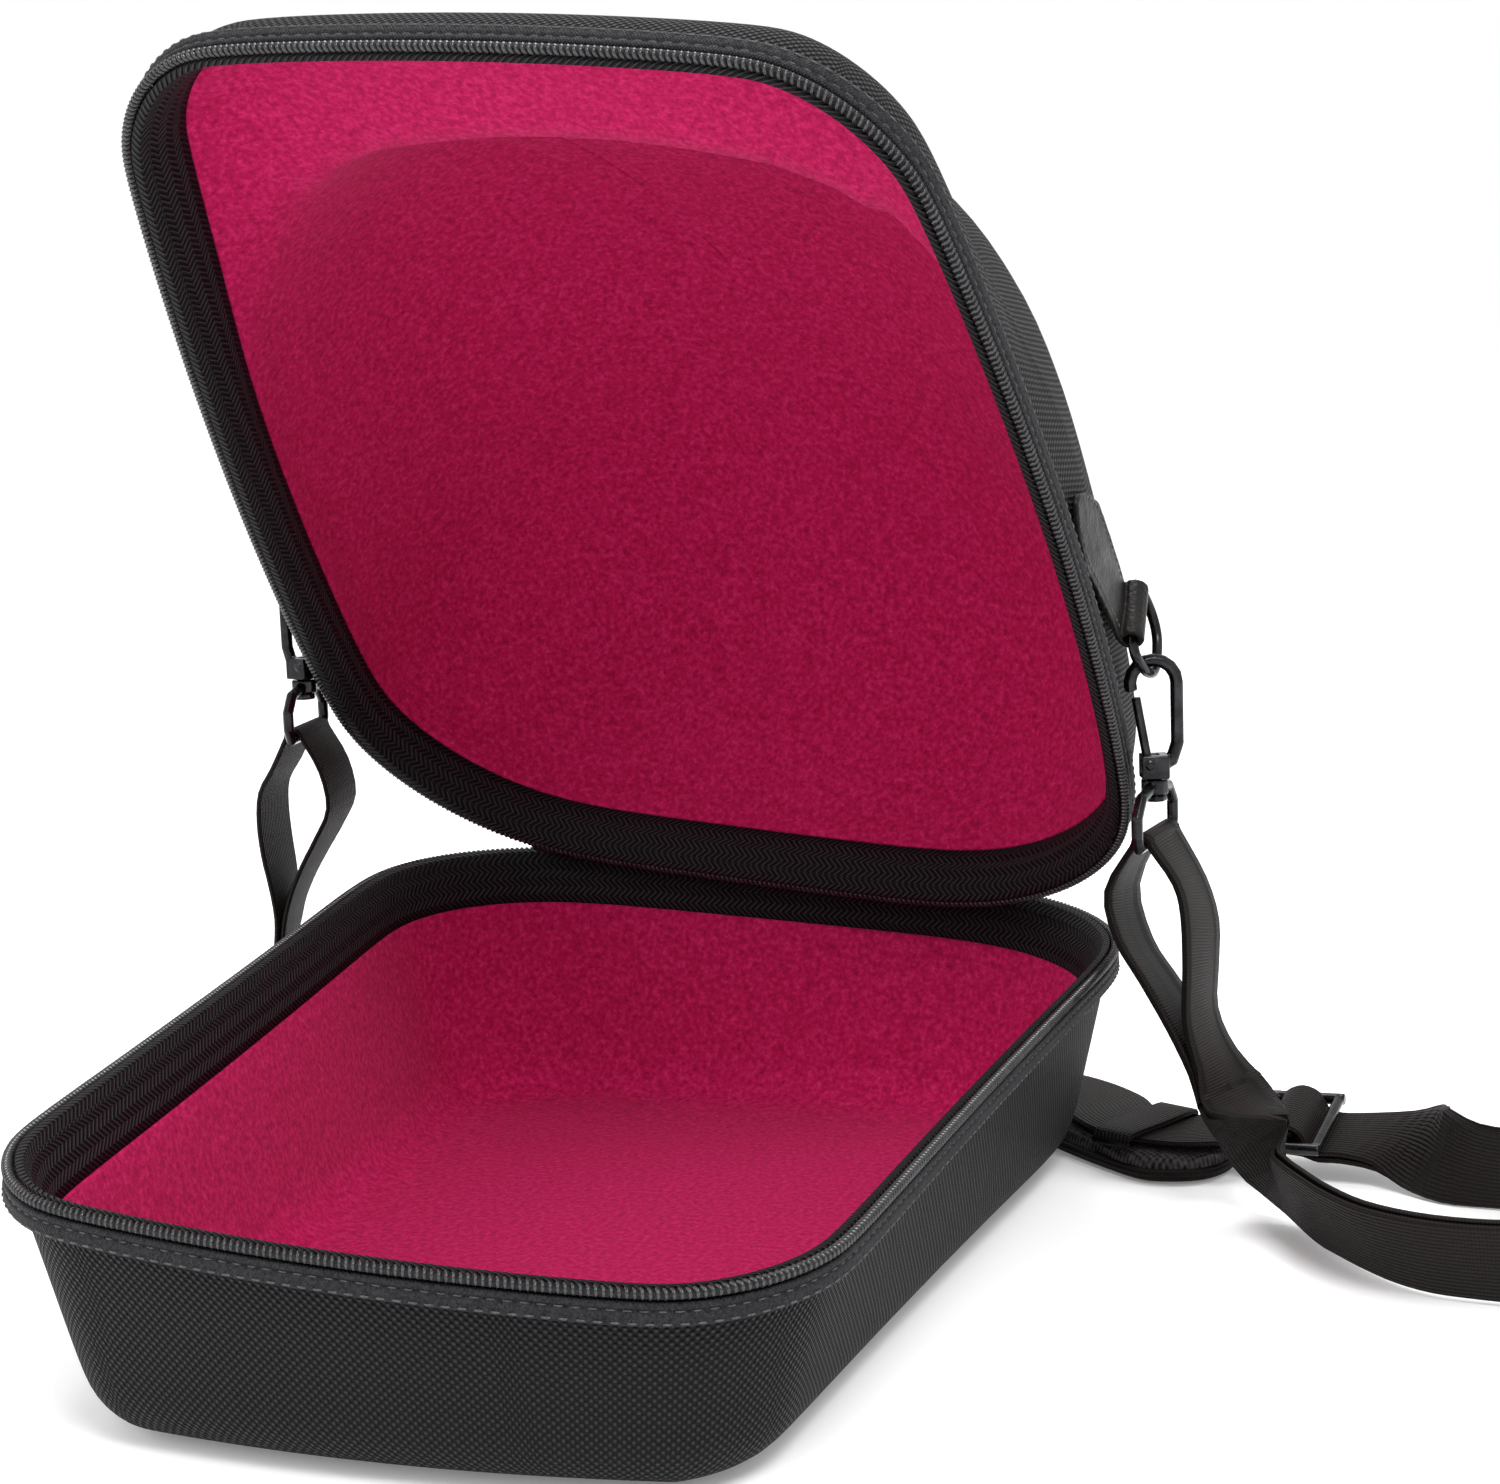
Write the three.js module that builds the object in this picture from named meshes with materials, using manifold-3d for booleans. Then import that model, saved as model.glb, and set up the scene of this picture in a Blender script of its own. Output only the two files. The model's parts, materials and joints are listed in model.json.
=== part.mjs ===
// Carrier case for baseball caps, standing open: a moulded tray, a lid with a flat front and a domed crown,
// zip halves round both rims, a cloth hinge, and a shoulder strap on two snap hooks.
// Millimetres, +Z up, front towards -Y. The origin is on the tray's resting face, under the middle of its rim.
import * as THREE from 'three';
import Module from 'manifold-3d';
import { mergeVertices } from 'three/addons/utils/BufferGeometryUtils.js';

const wasm = await Module();
wasm.setup();

// Plan of the zip line, which both halves share
const rim_width = 211;
const rim_length = 291;
const front_corner_radius = 34;
const back_corner_radius = 57;
const narrowing = 0.117;
const back_bow = 4;
const tray_side_bow = -2.3;
const tray_front_bow = 11;
const lid_side_bow = 10.9;
const lid_front_bow = 5.1;

// Walls and the gaps kept between pieces
const shell_wall = 3;
const lining_wall = 1.2;
const lining_gap = 0.6;
const shell_inset = 1.5;
const rim_clearance = 2.5;
const fit_gap = 0.3;

// Tray: the rim stands higher at the back and at the left
const rim_height = 63.4;
const rim_pitch = 3.4;
const rim_roll = 3.8;
const tray_draft = 10;
const tray_bottom_radius = 19;

// Lid: flat over the brim, domed over the crown
const lid_opening = 51.4;
const lid_twist = -4.1;
const lid_lean = 1.0;
const lid_shift_x = -3;
const hinge_width = 18.7;
const brim_height = 28.5;
const crease_height = 32.5;
const crease_rise = 0.8;
const blend_reach = 4;
const shoulder_radius = 20;
const brim_depth = 58;
const crown_front_bow = 25;
const crown_corner_radius = 50;
const crown_height = 112;
const crown_roundness = 2.3;
const crown_middle = 125;

// Rim trim
const band_top = 1.6;
const band_height = 5;
const band_wall = 2;
const teeth_width = 2.6;
const teeth_height = 2.4;
const tape_drop = 14.5;
const tape_wall = 1.1;
const tape_bend = 7;

// Leather tab, D-ring and snap hook
const tab_length = 55;
const tab_half_width = 11;
const tab_loop_half = 9;
const tab_wall = 1.6;
const tab_tilt = 12;
const tab_loop_y = -105.4;
const tab_loop_z = 26;
const ring_bar = 20;
const ring_depth = 16;
const ring_wire = 3;
const ring_swing_right = 14.5;
const ring_swing_left = 27;
const ring_play = 0.4;
const tab_gap = 0.5;
const hook_width = 15.5;
const hook_length = 31;
const hook_wire = 3.4;
const gate_wall = 2.4;
const gate_inset = 1.2;
const pin_radius = 1.7;
const hook_base = 7;
const slot_end = 1.1;
const neck_radius = 1.8;
const neck_drop = 6;
const eye_inside = 27.5;
const eye_height = 14;
const eye_wire = 3;
const hook_turn = 18;
const eye_turn = 82;

// Shoulder strap
const web_width = 25;
const web_wall = 1.4;
const slider_bar = 3;
const slider_slot = 7.5;
const slider_side = 3.2;
const slider_lead = 15;
const strap_lead = 17;
const hang = 13;
const split_length = 42;
const split_half = 10.5;
const split_peak = 16;
const pad_width = 38;
const pad_thickness = 8;
const sleeve_inset = 25;
const sleeve_length = 12;
const sleeve_wall = 1.6;

const hinge_wall = 1.2;
const hinge_sag = 1;

const wire_sides = 8;
const rod_sides = 10;
const corner_steps = 5;
const side_steps = 5;
const shade = (hex, roughness, metalness = 0) => new THREE.MeshStandardMaterial({ color: hex, roughness, metalness });
const nylon = () => shade(0x26262a, 0.75);
const felt = () => shade(0xa3144a, 0.95);
const ribbon = () => shade(0x303034, 0.7);
const coil = () => shade(0x1b1b1d, 0.4);
const leather = () => shade(0x1c1a1a, 0.55);
const metal = () => shade(0x1e1e20, 0.3, 0.8);
const webbing = () => shade(0x1d1817, 0.7);
const padding = () => shade(0x4a4748, 0.8);

const caseGroup = new THREE.Group();
const rad = THREE.MathUtils.degToRad;
const range = (n) => [...Array(n).keys()];
const vec = (x, y, z) => new THREE.Vector3(x, y, z);
const mix = (a, b, t) => a + (b - a) * t;

function addPiece(name, geometry, material, parent = caseGroup) {
  const mesh = new THREE.Mesh(geometry, material);
  mesh.name = name;
  parent.add(mesh);
  return mesh;
}

// A closed solid from rings of equal count: capped at both ends by a fan, or closed on itself
function solidFromRings(rings, { loop = false, centres = null } = {}) {
  const count = rings[0].length;
  const points = rings.flat();
  const faces = [];
  const spans = loop ? rings.length : rings.length - 1;
  for (const i of range(spans)) {
    const next = (i + 1) % rings.length;
    for (const k of range(count)) {
      const [a, b] = [i * count + k, i * count + (k + 1) % count];
      const [c, d] = [next * count + k, next * count + (k + 1) % count];
      faces.push([a, b, d], [a, d, c]);
    }
  }
  if (!loop) {
    const last = (rings.length - 1) * count;
    const middle = (ring) => ring.reduce((s, p) => s.add(p), vec(0, 0, 0)).divideScalar(count);
    const [first, end] = centres ?? [middle(rings[0]), middle(rings[rings.length - 1])];
    points.push(first, end);
    for (const k of range(count)) {
      faces.push([points.length - 2, (k + 1) % count, k]);
      faces.push([points.length - 1, last + k, last + (k + 1) % count]);
    }
  }
  return windOutwards(points, faces);
}

function windOutwards(points, faces) {
  const volume = faces.reduce((sum, [a, b, c]) => sum + points[a].dot(points[b].clone().cross(points[c])), 0);
  const wound = volume > 0 ? faces : faces.map(([a, b, c]) => [a, c, b]);
  const geometry = new THREE.BufferGeometry();
  geometry.setAttribute('position', new THREE.Float32BufferAttribute(points.flatMap((p) => [p.x, p.y, p.z]), 3));
  geometry.setIndex(wound.flat());
  return geometry;
}

function toManifold(geometry) {
  const bare = geometry.clone();
  bare.deleteAttribute('normal');
  bare.deleteAttribute('uv');
  const merged = mergeVertices(bare, 1e-4);
  const vertProperties = new Float32Array(merged.attributes.position.array);
  const triVerts = new Uint32Array(merged.index.array);
  return new wasm.Manifold(new wasm.Mesh({ numProp: 3, vertProperties, triVerts }));
}

function fromManifold(solid) {
  const { vertProperties, triVerts, numProp } = solid.getMesh();
  const geometry = new THREE.BufferGeometry();
  const points = range(vertProperties.length / numProp).flatMap((i) => [...vertProperties.slice(i * numProp, i * numProp + 3)]);
  geometry.setAttribute('position', new THREE.Float32BufferAttribute(points, 3));
  geometry.setIndex([...triVerts]);
  return geometry;
}

// Rounded rectangle in plan, narrower at the front, with bowed sides and ends; y = 0 is the straight back edge
function planOutline({ length = rim_length, frontRadius = front_corner_radius, sideBow, frontBow }) {
  const half = rim_width / 2;
  const corners = [
    { x: half - back_corner_radius, y: back_corner_radius, r: back_corner_radius, from: -90 },
    { x: half - frontRadius, y: length - frontRadius, r: frontRadius, from: 0 },
    { x: -half + frontRadius, y: length - frontRadius, r: frontRadius, from: 90 },
    { x: -half + back_corner_radius, y: back_corner_radius, r: back_corner_radius, from: 180 },
  ];
  const raw = [];
  corners.forEach((corner, i) => {
    for (const k of range(corner_steps + 1)) {
      const a = rad(corner.from + 90 * k / corner_steps);
      raw.push([corner.x + corner.r * Math.cos(a), corner.y + corner.r * Math.sin(a)]);
    }
    const next = corners[(i + 1) % 4];
    const [x0, y0] = raw[raw.length - 1];
    const a = rad(next.from);
    const [x1, y1] = [next.x + next.r * Math.cos(a), next.y + next.r * Math.sin(a)];
    for (const k of range(side_steps - 1)) {
      raw.push([mix(x0, x1, (k + 1) / side_steps), mix(y0, y1, (k + 1) / side_steps)]);
    }
  });
  return raw.map(([x, y]) => {
    const u = x / half;
    const v = 2 * y / rim_length - 1;
    const end = 2 * y / length - 1;
    const bow = (end > 0 ? frontBow : back_bow) * end * (1 - u * u);
    return [(x + u * sideBow * (1 - v * v)) * (1 - narrowing * v), -(y + bow)];
  });
}

// A plan line moved inwards, by one inset or by one for each point
function insetOutline(points, insets) {
  const n = points.length;
  return points.map(([x, y], i) => {
    const inset = Array.isArray(insets) ? insets[i] : insets;
    const [ax, ay] = points[(i + n - 1) % n];
    const [bx, by] = points[(i + 1) % n];
    const length = Math.hypot(bx - ax, by - ay);
    return [x - inset * (ay - by) / length, y - inset * (bx - ax) / length];
  });
}

// The rim frame: its plane is the zip line
const rimFrame = new THREE.Group();
rimFrame.position.set(0, 0, rim_height);
rimFrame.rotation.set(rad(rim_pitch), rad(rim_roll), 0);
rimFrame.updateMatrix();
caseGroup.add(rimFrame);
const tray_middle = (rim_length + tray_front_bow - back_bow) / 2;
const trayPlan = planOutline({ sideBow: tray_side_bow, frontBow: tray_front_bow }).map(([x, y]) => [x, y + tray_middle]);

// A point of the tray's outer wall, moved inwards by depth, at a drop below the zip line
const wallTop = (depth) => insetOutline(trayPlan, shell_inset + depth).map(([x, y]) => vec(x, y, -rim_clearance).applyMatrix4(rimFrame.matrix));
const wallFoot = (depth) => insetOutline(trayPlan, shell_inset + tray_draft + depth).map(([x, y]) => vec(x, y, tray_bottom_radius));

function trayWallRing(depth, drop) {
  const foot = wallFoot(depth);
  return wallTop(depth).map((top, k) => top.clone().lerp(foot[k], (drop - rim_clearance) / top.distanceTo(foot[k])));
}

function trayBottomRing(depth, angle) {
  const radius = tray_bottom_radius - depth;
  const inset = shell_inset + tray_draft + depth + radius * (1 - Math.cos(rad(angle)));
  const z = depth + radius * (1 - Math.sin(rad(angle)));
  return insetOutline(trayPlan, inset).map(([x, y]) => vec(x, y, z));
}

const bottom_angles = [0, 30, 60, 90];
const fan_y = 12;

function makeTray() {
  const outer = [...bottom_angles].reverse().map((a) => trayBottomRing(0, a));
  const inner = bottom_angles.map((a) => trayBottomRing(shell_wall, a));
  const shellCentres = [vec(0, fan_y, 0), vec(0, fan_y, shell_wall)];
  const rings = [...outer, wallTop(0), wallTop(shell_wall), ...inner];
  addPiece('tray_shell', solidFromRings(rings, { centres: shellCentres }), nylon());

  const near = shell_wall + lining_gap;
  const far = near + lining_wall;
  const liningOuter = [...bottom_angles].reverse().map((a) => trayBottomRing(near, a));
  const liningInner = bottom_angles.map((a) => trayBottomRing(far, a));
  const liningTop = [trayWallRing(near, tape_drop), trayWallRing(far, tape_drop)];
  const liningCentres = [vec(0, fan_y, near), vec(0, fan_y, far)];
  addPiece('tray_lining', solidFromRings([...liningOuter, ...liningTop, ...liningInner], { centres: liningCentres }), felt());
}

// Lid frame: hinge edge at y = 0, opening in the plane z = 0, crown towards +Z
const lidFrame = new THREE.Group();
const hinge_y = tray_middle + back_bow;
lidFrame.position.set(lid_shift_x, hinge_y - hinge_width, fit_gap);
lidFrame.rotation.set(rad(-lid_opening), rad(lid_lean), rad(lid_twist), 'ZYX');
lidFrame.updateMatrix();
rimFrame.add(lidFrame);
const lidShape = { sideBow: lid_side_bow, frontBow: lid_front_bow };
const lidPlan = planOutline(lidShape).map(([x, y]) => [x, y - back_bow]);
const crownShape = { ...lidShape, length: rim_length - brim_depth, frontRadius: crown_corner_radius, frontBow: crown_front_bow };
const crownLine = planOutline(crownShape).map(([x, y]) => [x, y - back_bow]);

// The point of a closed plan line that lies nearest to a given point
function nearestOn([x, y], line) {
  const found = line.map(([ax, ay], i) => {
    const [bx, by] = line[(i + 1) % line.length];
    const along = ((x - ax) * (bx - ax) + (y - ay) * (by - ay)) / ((bx - ax) ** 2 + (by - ay) ** 2);
    const t = THREE.MathUtils.clamp(along, 0, 1);
    return [mix(ax, bx, t), mix(ay, by, t)];
  });
  const away = ([px, py]) => Math.hypot(px - x, py - y);
  return found.reduce((a, b) => (away(a) <= away(b) ? a : b));
}
const crownPlan = lidPlan.map((point) => nearestOn(point, crownLine));

// Share of the crown's plan that is left at height z of a dome of the given height
const domeShare = (z, height) => (1 - (z / height) ** crown_roundness) ** (1 / crown_roundness);

function domeRing(depth, z) {
  const share = domeShare(z, crown_height - depth);
  return insetOutline(crownPlan, shell_inset + depth).map(([x, y]) => vec(x * share, mix(-crown_middle, y, share), z));
}

// Distance from a plan point to a closed plan line
function planDistance(point, line) {
  const [x, y] = nearestOn(point, line);
  return Math.hypot(x - point[0], y - point[1]);
}

// The lid's lower surface, moved inwards by depth: straight wall and shoulder in front, dome foot at sides and back
const roofShare = lidPlan.map((point) => THREE.MathUtils.smoothstep(planDistance(point, crownPlan), 0, blend_reach));
const creaseShare = crownPlan.map((point) => THREE.MathUtils.smoothstep(planDistance(point, lidPlan), 0, shoulder_radius));
const blendPlans = (crown, brim) => brim.map(([x, y], k) => [mix(crown[k][0], x, roofShare[k]), mix(crown[k][1], y, roofShare[k])]);
const lidRimPlan = blendPlans(crownPlan, lidPlan);
const roofReach = lidRimPlan.map((point, k) => (roofShare[k] > 0 ? planDistance(point, crownPlan) / roofShare[k] : 0));

function lidLevelRing(depth, z) {
  const straight = brim_height - shoulder_radius - depth;
  const lift = Math.min(Math.max(z - straight, 0) / shoulder_radius, 1);
  const rounding = shoulder_radius * (1 - Math.sqrt(1 - lift * lift));
  const brim = insetOutline(lidPlan, roofReach.map((reach) => shell_inset + depth + Math.min(rounding, reach)));
  const dome = domeRing(depth, z);
  return dome.map((p, k) => vec(mix(p.x, brim[k][0], roofShare[k]), mix(p.y, brim[k][1], roofShare[k]), z));
}

// The crease where the crown rises from the roof over the brim; it runs out along the sides
function creaseRing(depth) {
  return insetOutline(crownPlan, shell_inset + depth).map(([x, y], k) => {
    const z = mix(brim_height + crease_rise, crease_height, creaseShare[k]) - depth;
    const share = domeShare(z, crown_height - depth);
    return vec(x * share, mix(-crown_middle, y, share), z);
  });
}

const shoulder_angles = [0, 30, 60, 90];
const dome_angles = [22, 44, 64, 80];

function shoulderLevels(depth) {
  const straight = brim_height - shoulder_radius - depth;
  return shoulder_angles.map((a) => straight + shoulder_radius * Math.sin(rad(a)));
}

// A ring of the lid's faceted wall at any height, between its two nearest levels
function lidWallRing(depth, z) {
  const levels = [rim_clearance, ...shoulderLevels(depth)];
  const i = Math.max(levels.findIndex((level) => level >= z), 1);
  const low = lidLevelRing(depth, levels[i - 1]);
  const high = lidLevelRing(depth, levels[i]);
  return low.map((p, k) => p.clone().lerp(high[k], (z - levels[i - 1]) / (levels[i] - levels[i - 1])));
}

function lidRings(depth, foot) {
  const shoulder = shoulderLevels(depth);
  const crease = crease_height - depth;
  const top = crown_height - depth;
  return [
    lidWallRing(depth, foot),
    ...shoulder.filter((z) => z > foot + 1).map((z) => lidLevelRing(depth, z)),
    creaseRing(depth),
    ...dome_angles.map((a) => domeRing(depth, mix(crease, top, Math.sin(rad(a))))),
  ];
}

function makeLid() {
  const apex = (depth) => vec(0, -crown_middle, crown_height - depth);
  const outer = lidRings(0, rim_clearance).reverse();
  const shellRings = [...outer, ...lidRings(shell_wall, rim_clearance)];
  addPiece('lid_shell', solidFromRings(shellRings, { centres: [apex(0), apex(shell_wall)] }), nylon(), lidFrame);

  const near = shell_wall + lining_gap;
  const far = near + lining_wall;
  const liningRings = [...lidRings(far, tape_drop).reverse(), ...lidRings(near, tape_drop)];
  addPiece('lid_lining', solidFromRings(liningRings, { centres: [apex(far), apex(near)] }), felt(), lidFrame);
}

// Trim that runs round a rim: place(out, rise) gives the ring of points at that distance out and up from the zip line
function rimTrim(section, place) {
  return solidFromRings(section.map(([out, rise]) => place(out, rise)), { loop: true });
}

const band_section = [
  [-shell_inset + fit_gap, -band_top],
  [-shell_inset + fit_gap + band_wall, -band_top],
  [-shell_inset + fit_gap + band_wall, -band_top - band_height],
  [-shell_inset + fit_gap, -band_top - band_height],
];
const teeth_section = [
  [-teeth_width / 2 - 0.2, -teeth_height / 2],
  [teeth_width / 2 - 0.2, -teeth_height / 2],
  [teeth_width / 2 - 0.2, teeth_height / 2],
  [-teeth_width / 2 - 0.2, teeth_height / 2],
];

// The zip tape leans in from the teeth, crosses the shell's edge and hangs down its inner face
const tape_out = -teeth_width / 2 - 0.5;
const tape_inner = -shell_inset - shell_wall - fit_gap;
function tapeRings(place, wall) {
  return [
    place(tape_out, teeth_height / 2 - 0.2),
    place(tape_out, -rim_clearance + 0.5),
    place(tape_inner - 0.3, -rim_clearance + 0.5),
    wall(shell_wall + fit_gap, tape_bend),
    wall(shell_wall + fit_gap, tape_drop - fit_gap),
    wall(shell_wall + fit_gap + tape_wall, tape_drop - fit_gap),
    place(tape_inner - tape_wall - 1.2, -rim_clearance - 4),
    place(tape_inner + 1.2, teeth_height / 2 - 0.6),
  ];
}

function makeRims() {
  const trayRing = (out, rise) => insetOutline(trayPlan, -out).map(([x, y]) => vec(x, y, rise).applyMatrix4(rimFrame.matrix));
  const lidRing = (out, rise) => insetOutline(lidRimPlan, -out).map(([x, y]) => vec(x, y, -rise));
  addPiece('tray_rim_band', rimTrim(band_section, trayRing), ribbon());
  addPiece('tray_zip_teeth', rimTrim(teeth_section, trayRing), coil());
  addPiece('tray_zip_tape', solidFromRings(tapeRings(trayRing, trayWallRing), { loop: true }), ribbon());
  addPiece('lid_rim_band', rimTrim(band_section, lidRing), ribbon(), lidFrame);
  addPiece('lid_zip_teeth', rimTrim(teeth_section, lidRing), coil(), lidFrame);
  addPiece('lid_zip_tape', solidFromRings(tapeRings(lidRing, lidWallRing), { loop: true }), ribbon(), lidFrame);
}

// A closed solid between two matching grids of points, a face and its back
function solidFromGrids(face, back) {
  const rows = face.length;
  const columns = face[0].length;
  const points = [...face.flat(), ...back.flat()];
  const top = (i, j) => i * columns + j;
  const under = (i, j) => rows * columns + i * columns + j;
  const faces = [];
  const quad = (a, b, c, d) => faces.push([a, b, c], [a, c, d]);
  for (const i of range(rows - 1)) {
    for (const j of range(columns - 1)) {
      quad(top(i, j), top(i + 1, j), top(i + 1, j + 1), top(i, j + 1));
      quad(under(i, j), under(i, j + 1), under(i + 1, j + 1), under(i + 1, j));
    }
    quad(top(i, 0), under(i, 0), under(i + 1, 0), top(i + 1, 0));
    quad(top(i, columns - 1), top(i + 1, columns - 1), under(i + 1, columns - 1), under(i, columns - 1));
  }
  for (const j of range(columns - 1)) {
    quad(top(0, j), top(0, j + 1), under(0, j + 1), under(0, j));
    quad(top(rows - 1, j), under(rows - 1, j), under(rows - 1, j + 1), top(rows - 1, j + 1));
  }
  return windOutwards(points, faces);
}

// A round wire along a path that lies in one plane; bends are mitred
function wire(path, normal, radius, { loop = false, sides = wire_sides } = {}) {
  const n = path.length;
  const rings = path.map((p, i) => {
    const before = loop || i > 0 ? path[(i + n - 1) % n] : null;
    const after = loop || i < n - 1 ? path[(i + 1) % n] : null;
    const into = (before ? p.clone().sub(before) : after.clone().sub(p)).normalize();
    const out = (after ? after.clone().sub(p) : p.clone().sub(before)).normalize();
    const along = into.clone().add(out).normalize();
    const side = vec(0, 0, 0).crossVectors(normal, along);
    const mitre = 1 / along.dot(into);
    return range(sides).map((k) => {
      const a = 2 * Math.PI * (k + 0.5) / sides;
      const across = side.clone().multiplyScalar(radius * Math.cos(a) * mitre);
      return p.clone().add(across).addScaledVector(normal, radius * Math.sin(a));
    });
  });
  return solidFromRings(rings, { loop });
}

// A rod of the given radius from one point to another
function rod(from, to, radius, sides = rod_sides) {
  const along = to.clone().sub(from).normalize();
  const side = Math.abs(along.z) < 0.9 ? vec(0, 0, 1).cross(along).normalize() : vec(1, 0, 0).cross(along).normalize();
  return wire([from, to], side, radius, { sides });
}

// Union of some solids, less some others
function joined(solids, cuts = []) {
  const whole = solids.map(toManifold).reduce((a, b) => a.add(b));
  return fromManifold(cuts.map(toManifold).reduce((a, b) => a.subtract(b), whole));
}

// A ribbon along stations of centre, width direction and face direction
function ribbonSolid(stations, width, thickness) {
  const edge = (station, side, up) => station.at.clone()
    .addScaledVector(station.across, side * width / 2)
    .addScaledVector(station.face, up * thickness / 2);
  const grid = (up) => stations.map((station) => [edge(station, -1, up), edge(station, 1, up)]);
  return solidFromGrids(grid(1), grid(-1));
}

// Outer face of the lid's side wall at a height, on the right
function lidSide(y, z) {
  const share = domeShare(z, crown_height);
  const v = 2 * (-(y + crown_middle) / share + crown_middle - back_bow) / rim_length - 1;
  const half = (rim_width / 2 + lid_side_bow * (1 - v * v)) * (1 - narrowing * v);
  return (half - shell_inset) * share;
}

// Cloth hinge: sewn outside the tray at the back, slack, and into the foot of the lid's band
function makeHinge() {
  const n = trayPlan.length;
  const stations = [n - 6, n - 5, n - 4, n - 3, n - 2, n - 1, 0, 1];
  const onTray = (out, rise) => insetOutline(trayPlan, -out).map(([x, y]) => vec(x, y, rise));
  const onLid = (out, rise) => insetOutline(lidRimPlan, -out).map(([x, y]) => vec(x, y, rise).applyMatrix4(lidFrame.matrix));
  const near = band_wall - shell_inset + 2 * fit_gap;
  const sheet = (wall, lidRise) => {
    const trayTop = onTray(near - 1, teeth_height / 2 + fit_gap + wall);
    const overTape = onTray(tape_inner - tape_wall - 2.5, teeth_height / 2 + fit_gap + wall);
    const lidFoot = onLid(near, lidRise);
    const sag = overTape.map((p, k) => p.clone().lerp(lidFoot[k], 0.5).add(vec(0, 0, -hinge_sag)));
    const rows = [onTray(near + wall, -band_top - band_height), onTray(near + wall, teeth_height / 2), trayTop, overTape, sag, lidFoot];
    return rows.map((row) => stations.map((k) => row[k]));
  };
  addPiece('hinge_strip', solidFromGrids(sheet(hinge_wall, hinge_wall), sheet(0, 0)), ribbon(), rimFrame);
}

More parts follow.
